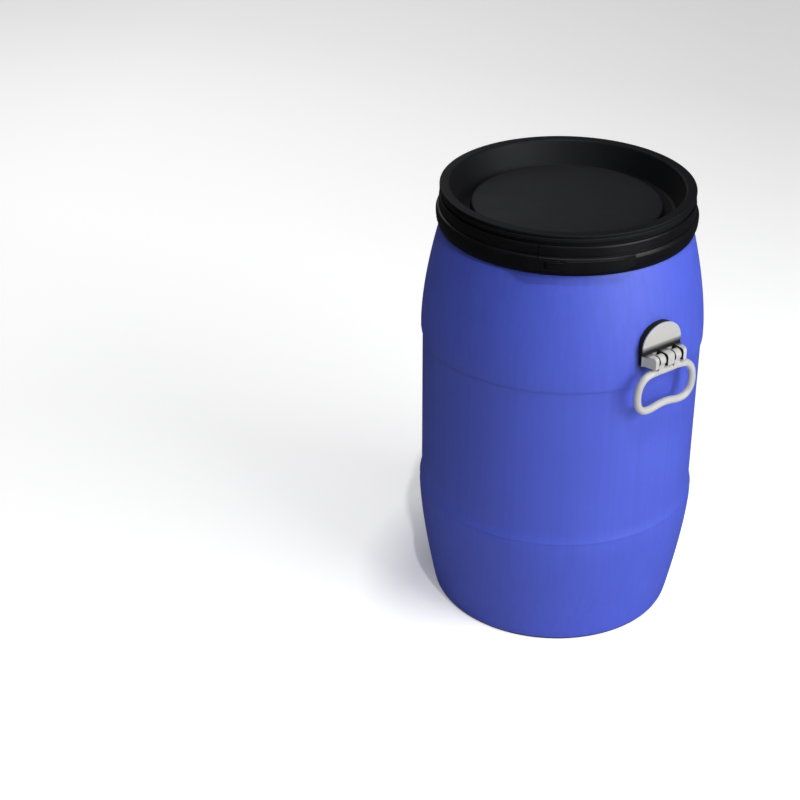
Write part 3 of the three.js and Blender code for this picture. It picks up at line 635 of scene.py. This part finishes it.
def body_outline():
    """The wall's section, as corners of (radius, height, rounding)."""
    standing = FOOT_R - FOOT_ROUND
    inner = standing - FOOT_RING
    foot = [(0, PUSH_UP, 0), (inner - FOOT_SLOPE, PUSH_UP, 12), (inner, 0, 5), (standing + 2, 0, 4)]
    side = [(FOOT_R + 0.9, 6, 6)]
    side += [(barrel_radius(z), z, 0) for z in spread(14, BELLY_Z, 26)]
    side += [
        (BELLY_R - RIDGE_LIP, LOWER_RIDGE_Z - 5, 3),
        (BELLY_R - RIDGE_LIP, LOWER_RIDGE_Z - 0.8, 0.4),
        (BELLY_R, LOWER_RIDGE_Z, 0.6),
    ]
    flare_end = LOWER_RIDGE_Z + RIDGE_FLARE
    side += [(flared_radius(z), z, 0) for z in spread(LOWER_RIDGE_Z + 3, flare_end, 8)]
    side += [(MIDDLE_R, z, 0) for z in spread(flare_end + 8, UPPER_RIDGE_Z - 12, 12)]
    side += [
        (MIDDLE_R + 0.8, UPPER_RIDGE_Z - 3.5, 4),
        (SHOULDER_R - 0.5, UPPER_RIDGE_Z - 0.4, 1),
        (SHOULDER_R, UPPER_RIDGE_Z + 3, 3),
    ]
    side += [(barrel_radius(z), z, 0) for z in spread(SHOULDER_START_Z, SHOULDER_END_Z - 3, 26)]
    neck = [
        (SHOULDER_END_R, SHOULDER_END_Z, 3),
        (BEAD_R, SHOULDER_END_Z + 5, 3),
        (NECK_R, SHOULDER_END_Z + 9, 3),
        (NECK_R, BEAD_Z - BEAD_HALF_H - 2, 3),
        (BEAD_R, BEAD_Z - BEAD_HALF_H + 1, 2.5),
        (BEAD_R, BEAD_Z + BEAD_HALF_H - 1, 2.5),
        (NECK_R, BEAD_Z + BEAD_HALF_H + 2, 3),
        (NECK_R, LIP_Z, 1.6),
        (NECK_INNER_R, LIP_Z, 1.6),
        (NECK_INNER_R, SHOULDER_END_Z + 7, 12),
    ]
    shoulder = spread(SHOULDER_END_Z - 12, SHOULDER_START_Z, 16)
    inside = [(barrel_radius(z) - WALL, z, 0) for z in shoulder]
    inside += [(MIDDLE_R - WALL, UPPER_RIDGE_Z - 3, 4), (MIDDLE_R - WALL, LOWER_RIDGE_Z + 3, 4)]
    inside += [(barrel_radius(z) - WALL, z, 0) for z in spread(BELLY_Z, 30, 16)]
    floor = [(FOOT_R - WALL - 2, PUSH_UP + WALL, 12), (0, PUSH_UP + WALL, 0)]
    return filleted(foot + side + neck + inside + floor)


body_shell = lathe("body_shell", body_outline())
fit(body_shell, "drum", "blue_body", "drum_body")

# ---------------------------------------------------------------- lid, gasket and ring


def lid_outline():
    """The lid's section, as corners of (radius, height, rounding)."""
    edge = [
        (LID_LAND_R + 1, HEIGHT, 2.5),
        (LID_R, HEIGHT, 2.6),
        (LID_R, HEIGHT - 3.4, 0.7),
        (LID_R - 2.0, HEIGHT - 4.4, 0.8),
        (LID_R - 2.0, HEIGHT - 6.2, 0.8),
        (LID_R - 0.2, HEIGHT - 7.0, 1.4),
        (LID_R - 0.2, HEIGHT - 13.2, 1.6),
        (LID_R - 3.6, HEIGHT - 14.8, 1.2),
        (LID_R - 3.6, LID_FLANGE_Z, 1.0),
        (LID_R - 2.0, LID_FLANGE_Z, 0.5),
        (LID_R - 2.0, LID_SKIRT_Z, 0.8),
    ]
    under = [
        (SKIRT_INNER_R, LID_SKIRT_Z, 0.8),
        (SKIRT_INNER_R, HEIGHT - LID_T, 1.5),
        (LID_LAND_R + LID_T, HEIGHT - LID_T, 3),
        (LID_FLOOR_R + LID_T, LID_FLOOR_Z - LID_T, 6),
        (LID_DISC_R - LID_T, LID_FLOOR_Z - LID_T, 2),
        (LID_DISC_R - LID_T - 1, LID_DISC_Z - LID_T, 2),
        (0, LID_DISC_Z - LID_T, 0),
    ]
    top = [
        (0, LID_DISC_Z, 0),
        (LID_DISC_R, LID_DISC_Z, 3.5),
        (LID_DISC_R + 1, LID_FLOOR_Z, 2.5),
        (LID_FLOOR_R, LID_FLOOR_Z, 7),
        (LID_LAND_R - 1.2, HEIGHT - 2.2, 2.5),
    ]
    return filleted(top + edge + under, 5)


def hoop_outline():
    """The ring's section, as corners of (radius, drop below the lid's top, rounding)."""
    face = [
        (RING_R - 6.2, 19.2, 0.8),
        (RING_R - 5.4, 22.0, 2),
        (RING_R - 4.9, 32.0, 6),
        (RING_R - 4.6, 36.2, 0.8),
        (RING_R - 6.0, 37.9, 0.7),
        (RING_R - 2.0, 39.2, 2.5),
        (RING_R, 45.0, 7),
        (RING_R - 0.2, 51.0, 7),
        (RING_R - 0.9, 58.0, 7),
        (RING_R - 3.2, 64.5, 5),
        (RING_R - 4.9, 70.0, 0.8),
    ]
    inside = [
        (BEAD_R + BEAD_GAP, 70.0, 0.5),
        (BEAD_R + BEAD_GAP, 67.6, 0.6),
        (RING_R - 5.2, 63.0, 3),
        (RING_R - 3.0, 57.2, 3),
        (RING_R - 2.2, 50.8, 3),
        (RING_R - 2.1, 45.4, 3),
        (RING_R - 4.4, 41.0, 2),
        (RING_R - 8.0, 38.8, 1),
        (RING_R - 7.6, 24.0, 2),
        (RING_R - 7.8, 21.6, 1),
        (LID_R - 3.1, 21.4, 0.4),
        (LID_R - 3.1, 19.2, 0.6),
    ]
    return filleted([(r, HEIGHT - drop, round_by) for r, drop, round_by in face + inside], 5)


def gasket_outline():
    low, high = gasket_low.z, gasket_high.z
    inner, outer = NECK_INNER_R - CLEAR, gasket_high.x
    corners = [(inner, low, 1.8), (outer, low, 1.8), (outer, high, 2.6), (inner, high, 2.6)]
    return filleted(corners, 5)


lid_moulding = lathe("lid_moulding", lid_outline())
fit(lid_moulding, "closure", "black_lid", "lid")

gasket = lathe("sealing_ring", gasket_outline())
fit(gasket, "closure", "rubber", "lid_gasket")

split_middle = (FULCRUM_AZ + CATCH_AZ) / 2
split_half = along_ring(RING_SPLIT / 2)
hoop_ends = (split_middle + split_half, split_middle + 360 - split_half)
hoop = lathe("ring_hoop", hoop_outline(), SEGMENTS, *hoop_ends)
fit(hoop, "closure", "black_ring", "clamp_ring")

# ---------------------------------------------------------------- latch


def strap_outer(azimuth):
    """The strap's outer radius, which eases down to the ring at both ends."""
    into = (abs(azimuth - LATCH_MID) - (LATCH_HALF_SPAN - TAPER_SPAN)) / TAPER_SPAN
    into = min(1, max(0, into))
    ease = into * into * (3 - 2 * into)
    return STRAP_R - (STRAP_R - RING_R - STRAP_END_OUT) * ease


def strap_inner(azimuth):
    return strap_outer(azimuth) - STRAP_T


def upright(name, outline, low, high, edge=0.0):
    return prism(name, outline, low, high, PLAN, edge)


def post(name, radius, azimuth, size, low, high, edge=0.0):
    middle = radial(radius, azimuth)
    return upright(name, circle(middle.x, middle.y, size), low, high, edge)


def lever_ear(low):
    high = low + EAR_T
    reach = LINK_PIN_AZ + along_ring(EAR_REACH)
    web = ring_sector(LEVER_PIVOT_R - 1, STRAP_R - STRAP_T + 0.5, FULCRUM_AZ, reach)
    return [
        post("ear", LEVER_PIVOT_R, FULCRUM_AZ, EAR_R, low, high, 0.3),
        post("ear", LINK_PIVOT_R, LINK_PIN_AZ, EAR_R, low, high, 0.3),
        upright("ear", web, low, high, 0.3),
    ]


def pin_bore(radius, azimuth):
    return post("bore", radius, azimuth, LATCH_PIN_R + CLEAR, LATCH_Z - 5, LATCH_TOP_Z + 5)


def lever_strap():
    end = LATCH_MID + LATCH_HALF_SPAN
    root = FULCRUM_AZ + along_ring(LEVER_ROOT)
    wide = LINK_PIN_AZ + along_ring(LEVER_NECK)
    tall = ring_sector(strap_inner, strap_outer, wide, end)
    strap = upright("lever_strap", tall, LATCH_Z, LATCH_TOP_Z, 0.8)
    low = ring_sector(strap_inner, strap_outer, root, wide + 0.5)
    narrow = upright("root", low, EAR_Z, EAR_TOP_Z, 0.5)
    combine(strap, [narrow, *lever_ear(EAR_Z), *lever_ear(EAR_TOP_Z - EAR_T)], "UNION")
    bores = [pin_bore(LEVER_PIVOT_R, FULCRUM_AZ), pin_bore(LINK_PIVOT_R, LINK_PIN_AZ)]
    combine(strap, bores, "DIFFERENCE")
    return strap


def claw_strap():
    end = LATCH_MID - LATCH_HALF_SPAN
    web_end = FULCRUM_AZ - along_ring(CLAW_WEB_BACK)
    toe = CATCH_AZ - along_ring(LATCH_PIN_R + CLEAR + CLAW_TOE)
    tall = ring_sector(strap_inner, strap_outer, end, web_end)
    strap = upright("claw_strap", tall, LATCH_Z, LATCH_TOP_Z, 0.8)
    flanges = []
    for low in (LATCH_Z, LATCH_TOP_Z - FLANGE_T):
        web = ring_sector(RING_R + CLAW_FLANGE_OUT, strap_outer, toe, LINK_PIN_AZ)
        flanges.append(upright("flange", web, low, low + FLANGE_T, 0.3))
        flanges.append(post("eye", LINK_PIVOT_R, LINK_PIN_AZ, EAR_R, low, low + FLANGE_T, 0.3))
    combine(strap, flanges, "UNION")
    notch = ring_sector(
        RING_R,
        CATCH_R + LATCH_PIN_R + NOTCH_DEEP,
        CATCH_AZ - along_ring(LATCH_PIN_R + CLEAR),
        CATCH_AZ + along_ring(LATCH_PIN_R + NOTCH_WIDE),
    )
    cut = upright("notch", notch, LATCH_Z - 1, LATCH_TOP_Z + 1)
    combine(strap, [cut, pin_bore(LINK_PIVOT_R, LINK_PIN_AZ)], "DIFFERENCE")
    return strap


fit(lever_strap(), "closing_lever", "black_ring", "lever")
fit(claw_strap(), "closing_link", "black_ring", "claw_link")

# ---------------------------------------------------------------- handles


def plate_outline(inset=0.0):
    half = PLATE_HALF_W - inset
    bottom = PLATE_BOTTOM_Z + inset
    spring = PLATE_TOP_Z - PLATE_ARCH_H
    arch = PLATE_ARCH_H - inset
    turns = [math.pi * i / 40 for i in range(41)]
    over = [(half * math.cos(t), spring + arch * math.sin(t)) for t in turns]
    return [(-half, bottom), (half, bottom)] + over


def knuckle_outline():
    low, high = HINGE_Z - BLOCK_HALF_H, HINGE_Z + BLOCK_HALF_H
    corners = [
        (PLATE_FRONT_X - 1, low, 0),
        (BLOCK_FRONT_X, low, 1),
        (BLOCK_FRONT_X, high, BLOCK_ROUND),
        (PLATE_FRONT_X - 1, high, 0),
    ]
    return filleted(corners, 8)


def hinge_bore(start, end):
    return prism("hole", circle(HINGE_X, HINGE_Z, HINGE_PIN_R + CLEAR, 40), start, end, ALONG_Y)


def hinge_plate(name):
    plate = prism(name, plate_outline(), PLATE_BACK_X, PLATE_FRONT_X, ALONG_X, 0.5)
    spans = [
        (-BLOCK_BACK_HALF_W, -SIDE_KNUCKLE_Y),
        (-CENTRE_KNUCKLE_HALF_W, CENTRE_KNUCKLE_HALF_W),
        (SIDE_KNUCKLE_Y, BLOCK_BACK_HALF_W),
    ]
    slant = [
        (PLATE_FRONT_X - 3, -BLOCK_BACK_HALF_W),
        (PLATE_FRONT_X, -BLOCK_BACK_HALF_W),
        (BLOCK_FRONT_X + 2, -BLOCK_FRONT_HALF_W + 0.5),
        (BLOCK_FRONT_X + 2, BLOCK_FRONT_HALF_W - 0.5),
        (PLATE_FRONT_X, BLOCK_BACK_HALF_W),
        (PLATE_FRONT_X - 3, BLOCK_BACK_HALF_W),
    ]
    blocks = []
    for start, end in spans:
        block = prism("knuckle", knuckle_outline(), start, end, ALONG_Y)
        combine(block, [prism("slant", slant, HINGE_Z - 30, HINGE_Z + 30)], "INTERSECT")
        block.modifiers.clear()
        bevel(block, 0.8)
        blocks.append(block)
    combine(plate, blocks, "UNION")
    return combine(plate, [hinge_bore(hinge_low.y - CLEAR, PLATE_HALF_W)], "DIFFERENCE")


def loop_corners():
    """Points on the bail's loop: its straight top, round sides and wavy grip."""
    right = [
        (0.45, 0),
        (0.74, 3.5),
        (0.93, 16),
        (1.0, LOOP_DEPTH * 0.53),
        (0.94, LOOP_DEPTH * 0.81),
        (0.76, LOOP_DEPTH - 2),
        (0.52, LOOP_DEPTH),
        (0.22, LOOP_DEPTH - GRIP_WAVE + 1),
    ]
    right = [(share * LOOP_HALF_W, down) for share, down in right]
    left = [(-y, down) for y, down in reversed(right)]
    top = HINGE_Z - BAR_BELOW_HINGE
    loop = [(0, 0), *right, (0, LOOP_DEPTH - GRIP_WAVE), *left]
    return [Vector((y, top - down)) for y, down in loop]


def smooth_loop(corners, steps=10):
    """A closed centripetal Catmull-Rom curve through the corners."""
    points = []
    count = len(corners)
    for i in range(count):
        p = [corners[(i + k - 1) % count] for k in range(4)]
        t = [0.0]
        for a, b in zip(p, p[1:]):
            t.append(t[-1] + (b - a).length ** 0.5)
        for step in range(steps):
            at = t[1] + (t[2] - t[1]) * step / steps
            points.append(between(p, t, at))
    return points


def between(p, t, at):
    """The point of a Catmull-Rom stretch at a parameter, by repeated blending."""

    def blended(a, b, i, k):
        return a.lerp(b, (at - t[i]) / (t[k] - t[i]))

    first = [blended(p[i], p[i + 1], i, i + 1) for i in range(3)]
    second = [blended(first[i], first[i + 1], i, i + 2) for i in range(2)]
    return blended(*second, 1, 2)


def tube(name, line, radius, sides=20):
    """A closed round tube along a closed line in the hinge plane, given as (y, z) points."""
    count = len(line)
    vertices = []
    for i, point in enumerate(line):
        ahead = (line[(i + 1) % count] - line[i - 1]).normalized()
        across = Vector((ahead.y, -ahead.x))
        for k in range(sides):
            turn = 2 * math.pi * k / sides
            out = point + across * radius * math.cos(turn)
            vertices.append((HINGE_X + radius * math.sin(turn), out.x, out.y))
    faces = []
    for i in range(count):
        for k in range(sides):
            here, there = i * sides, (i + 1) % count * sides
            faces.append([here + k, here + (k + 1) % sides, there + (k + 1) % sides, there + k])
    return new_piece(name, vertices, faces)


def bail_arm(start):
    eye = prism("arm", circle(HINGE_X, HINGE_Z, EYE_R, 48), start, start + ARM_W, ALONG_Y)
    strap = [
        (HINGE_X - ROD_R, HINGE_Z - BAR_BELOW_HINGE),
        (HINGE_X + ROD_R, HINGE_Z - BAR_BELOW_HINGE),
        (HINGE_X + ROD_R, HINGE_Z),
        (HINGE_X - ROD_R, HINGE_Z),
    ]
    combine(eye, [prism("strap", strap, start, start + ARM_W, ALONG_Y)], "UNION")
    eye.modifiers.clear()
    bevel(eye, 0.8)
    return eye


def bail(name):
    loop = tube(name, smooth_loop(loop_corners()), ROD_R)
    combine(loop, [bail_arm(ARM_INNER_Y), bail_arm(-ARM_INNER_Y - ARM_W)], "UNION")
    return combine(loop, [hinge_bore(-PLATE_HALF_W, PLATE_HALF_W)], "DIFFERENCE")


def half_turn(obj):
    obj.data.transform(Matrix.Rotation(math.pi, 4, "Z"))


for side in ("front", "rear"):
    plate = hinge_plate(f"{side}_handle_plate")
    grip = bail(f"{side}_handle_loop")
    if side == "rear":
        half_turn(plate)
        half_turn(grip)
    fit(plate, "drum", "grey_handle", f"{side}_hinge_plate")
    fit(grip, f"{side}_bail", "grey_handle", f"{side}_bail")

# ---------------------------------------------------------------- packers, fixings and pins

STUD_Z = (stud_low.z + stud_high.z) / 2
STUD_HALF_SPREAD = (stud_low.y + stud_high.y) / 2
STUD_R = (stud_high.z - stud_low.z) / 2


def wall_core(name, gap):
    """A full turned solid that follows the shoulder, moved out by a gap."""
    heights = spread(UPPER_RIDGE_Z + 12, SHOULDER_END_Z - 20, 24)
    side = [(barrel_radius(z) + gap, z) for z in heights]
    return lathe(name, [(0, heights[0]), *side, (0, heights[-1])])


def stud_bores():
    bores = []
    for y in (STUD_HALF_SPREAD, -STUD_HALF_SPREAD):
        bores.append(prism("bore", circle(y, STUD_Z, STUD_R + CLEAR), NECK_R / 2, HINGE_X, ALONG_X))
    return bores


def packer_pad(name):
    pad = prism(name, plate_outline(PACKER_INSET), NECK_R, PLATE_BACK_X - CLEAR, ALONG_X)
    return combine(pad, [wall_core("core", CLEAR), *stud_bores()], "DIFFERENCE")


def curved_washer(name):
    low, high = backing_low, backing_high
    sides = [(low.y, low.z), (high.y, low.z), (high.y, high.z), (low.y, high.z)]
    corners = [(y, z, BACKING_ROUND) for y, z in sides]
    strip = prism(name, filleted(corners), NECK_R / 2, BELLY_R, ALONG_X)
    combine(strip, [wall_core("outer", -WALL - CLEAR)], "INTERSECT")
    inner = wall_core("inner", -WALL - CLEAR - BACKING_T)
    return combine(strip, [inner, *stud_bores()], "DIFFERENCE")


def rod(name, node, turn, edge):
    """A round rod with bevelled ends, as long and as thick as a CAD node."""
    low, high = box_mm(node)
    u, v, w = (turn.transposed() @ ((low + high) / 2))[:]
    size = turn.transposed() @ ((high - low) / 2)
    return prism(name, circle(u, v, size.x, 40), w - size.z, w + size.z, turn, edge)


def hex_nut(name, node):
    low, high = box_mm(node)
    y, z = (low.y + high.y) / 2, (low.z + high.z) / 2
    half, span = (high.y - low.y) / 2, high.x - low.x
    nut = prism(name, circle(y, z, half, 6), low.x, high.x, ALONG_X)
    dome = [
        (0, 0),
        (half - NUT_BEVEL, 0),
        (half, NUT_BEVEL),
        (half, span - NUT_BEVEL),
        (half - NUT_BEVEL, span),
        (0, span),
    ]
    cone = lathe("cone", dome, 48)
    cone.data.transform(Matrix.Rotation(math.pi / 2, 4, "Y"))
    cone.data.transform(Matrix.Translation(Vector((low.x, y, z)) * MM))
    combine(nut, [cone], "INTERSECT")
    bore = prism("bore", circle(y, z, STUD_R + CLEAR), low.x - 1, high.x + 1, ALONG_X)
    return combine(nut, [bore], "DIFFERENCE")


for side in ("front", "rear"):
    pad = packer_pad(f"{side}_packer_pad")
    washer = curved_washer(f"{side}_curved_washer")
    if side == "rear":
        half_turn(pad)
        half_turn(washer)
    fit(pad, "drum", "rubber", f"{side}_packer")
    fit(washer, "drum", "zinc_fixings", f"{side}_backing_plate")
    hinge_rod = rod(f"{side}_hinge_rod", f"{side}_hinge_pin", ALONG_Y, PIN_EDGE)
    fit(hinge_rod, "drum", "zinc_fixings", f"{side}_hinge_pin")
    for end in ("a", "b"):
        weld_stud = rod(f"{side}_weld_stud_{end}", f"{side}_stud_{end}", ALONG_X, PIN_EDGE)
        fit(weld_stud, "drum", "zinc_fixings", f"{side}_stud_{end}")
        nut = hex_nut(f"{side}_hex_nut_{end}", f"{side}_nut_{end}")
        fit(nut, "drum", "zinc_fixings", f"{side}_nut_{end}")

for kind, body in (("lever", "closure"), ("catch", "closure"), ("link", "closing_lever")):
    latch_rod = rod(f"{kind}_rod", f"{kind}_pin", PLAN, LATCH_PIN_EDGE)
    fit(latch_rod, body, "black_ring", f"{kind}_pin")

# ---------------------------------------------------------------- brackets and rivets on the ring


def laid_out(obj, azimuth, z):
    """Lays a piece made about +Z along the outward direction at an azimuth, at a height."""
    obj.data.transform(Matrix.Rotation(math.pi / 2, 4, "Y"))
    obj.data.transform(Matrix.Rotation(math.radians(azimuth), 4, "Z"))
    obj.data.transform(Matrix.Translation((0, 0, z * MM)))
    return obj


def rivet(name, node):
    low, high = box_mm(node)
    azimuth, middle = place_of(low, high)
    z = (low.z + high.z) / 2
    inner, outer = RING_R - RIVET_GRIP, RING_R + 2 * CLEAR + BRACKET_T
    corners = [
        (0, inner - RIVET_HEAD_T, 0),
        (RIVET_HEAD_R, inner - RIVET_HEAD_T, 0.4),
        (RIVET_HEAD_R, inner, 0.1),
        (RIVET_R, inner, 0),
        (RIVET_R, outer, 0),
        (RIVET_HEAD_R, outer, 0.1),
        (RIVET_HEAD_R, outer + RIVET_HEAD_T, 0.8),
        (0, outer + RIVET_HEAD_T, 0),
    ]
    return laid_out(lathe(name, filleted(corners), 32), azimuth, z)


def ring_bracket(name, azimuth, side, pivot_r):
    """A knuckle on a foot, with a riveted base plate to one side of it."""
    base, plate = RING_R + CLEAR, RING_R + CLEAR + BRACKET_T

    def span(start, end):
        return azimuth + side * along_ring(start), azimuth + side * along_ring(end)

    knuckle = post(name, pivot_r, azimuth, KNUCKLE_R, KNUCKLE_Z, KNUCKLE_TOP_Z, 0.3)
    foot = ring_sector(base, pivot_r, *sorted(span(-KNUCKLE_R, KNUCKLE_R)))
    neck = ring_sector(base, plate, *sorted(span(0, BRACKET_NECK)))
    pad = ring_sector(base, plate, *sorted(span(BRACKET_NECK - 1, BRACKET_LENGTH)))
    pieces = [
        upright("foot", foot, KNUCKLE_Z, KNUCKLE_TOP_Z, 0.2),
        upright("neck", neck, KNUCKLE_Z, KNUCKLE_TOP_Z, 0.2),
        upright("pad", pad, EAR_Z, EAR_TOP_Z, 0.4),
    ]
    combine(knuckle, pieces, "UNION")
    return combine(knuckle, [pin_bore(pivot_r, azimuth)], "DIFFERENCE")


for end, azimuth, side, pivot_r in (
    ("fulcrum", FULCRUM_AZ, 1, LEVER_PIVOT_R),
    ("catch", CATCH_AZ, -1, CATCH_R),
):
    bracket = ring_bracket(f"{end}_knuckle_bracket", azimuth, side, pivot_r)
    fit(bracket, "closure", "black_ring", f"{end}_bracket")
    for level in ("upper", "lower"):
        head = rivet(f"{end}_round_rivet_{level}", f"{end}_rivet_{level}")
        fit(head, "closure", "zinc_fixings", f"{end}_rivet_{level}")

# ---------------------------------------------------------------- studio


def floor():
    """A pale floor with a soft glow toward the back and the left, and a soft shade by the foot."""
    half = FLOOR_HALF_M
    corners = [(-half, -half, 0), (half, -half, 0), (half, half, 0), (-half, half, 0)]
    mesh = bpy.data.meshes.new("floor")
    mesh.from_pydata(corners, [], [(0, 1, 2, 3)])
    obj = bpy.data.objects.new("floor", mesh)
    bpy.context.scene.collection.objects.link(obj)
    s = Shader("pale_floor", (0.9, 0.9, 0.9), 0.75, Specular_IOR_Level=0.1, Emission_Strength=1.0)
    glow = s.ranged(s.along(TOWARD_BACK), 1.1, 2.7, 1.0, 0.0)
    foot = s.ranged(s.distance(s.x, s.y), 0.21, 0.37, 1.0, 0.0)
    shade = s.product(foot, s.ranged(s.along(LEEWARD), 0.0, 0.2))
    emitted = s.mixed(glow, (0.32, 0.32, 0.32), (0.42, 0.42, 0.42))
    left = s.ranged(s.along(TOWARD_LEFT), -0.6, 1.4, 0.0, 0.22)
    emitted = s.mixed(left, emitted, (0.9, 0.9, 0.9))
    s.links.new(s.mixed(shade, emitted, (0.17, 0.17, 0.20)), s.shader.inputs["Emission Color"])
    seen = s.nodes.new("ShaderNodeLightPath").outputs["Is Camera Ray"]
    s.links.new(seen, s.shader.inputs["Emission Strength"])
    lit = s.mixed(glow, (0.86, 0.86, 0.86), (0.92, 0.92, 0.92))
    s.color(s.mixed(shade, lit, (0.66, 0.66, 0.71)))
    mesh.materials.append(s.material)
    obj.visible_glossy = False


def world():
    made = bpy.data.worlds.new("studio")
    made.use_nodes = True
    background = made.node_tree.nodes["Background"]
    background.inputs["Color"].default_value = (1.0, 1.0, 1.0, 1)
    background.inputs["Strength"].default_value = WORLD_STRENGTH
    bpy.context.scene.world = made


def aimed(name, kind, azimuth, elevation, distance, energy, **settings):
    """A light at a distance in metres that points at the middle of the drum."""
    data = bpy.data.lights.new(name, kind)
    data.energy = energy
    for key, value in settings.items():
        setattr(data, key, value)
    obj = bpy.data.objects.new(name, data)
    target = Vector(LIGHT_TARGET_M)
    a, e = math.radians(azimuth), math.radians(elevation)
    back = Vector((math.cos(a) * math.cos(e), math.sin(a) * math.cos(e), math.sin(e)))
    obj.location = target + back * distance
    obj.rotation_euler = (-back).to_track_quat("-Z", "Y").to_euler()
    bpy.context.scene.collection.objects.link(obj)


def camera():
    data = bpy.data.cameras.new("camera")
    data.lens = CAMERA_LENS
    data.sensor_width = CAMERA_SENSOR_W
    obj = bpy.data.objects.new("camera", data)
    obj.location = CAMERA_PLACE_M
    turn = Matrix.Identity(3)
    for axis, degrees in CAMERA_TURNS:
        turn = turn @ Matrix.Rotation(math.radians(degrees), 3, axis)
    obj.rotation_euler = turn.to_euler()
    bpy.context.scene.collection.objects.link(obj)
    bpy.context.scene.camera = obj


floor()
world()
aimed("key_sun", "SUN", -30, 66, 6, 0.8, angle=math.radians(1.5))
aimed("top_softbox", "AREA", -20, 62, 3.2, 20, size=2.4)
aimed("back_softbox", "AREA", 165, 32, 3.4, 10, size=2.0)
aimed("right_softbox", "AREA", 16, 25, 3.2, 78, size=2.2)
bpy.context.scene.view_settings.view_transform = "Standard"
camera()
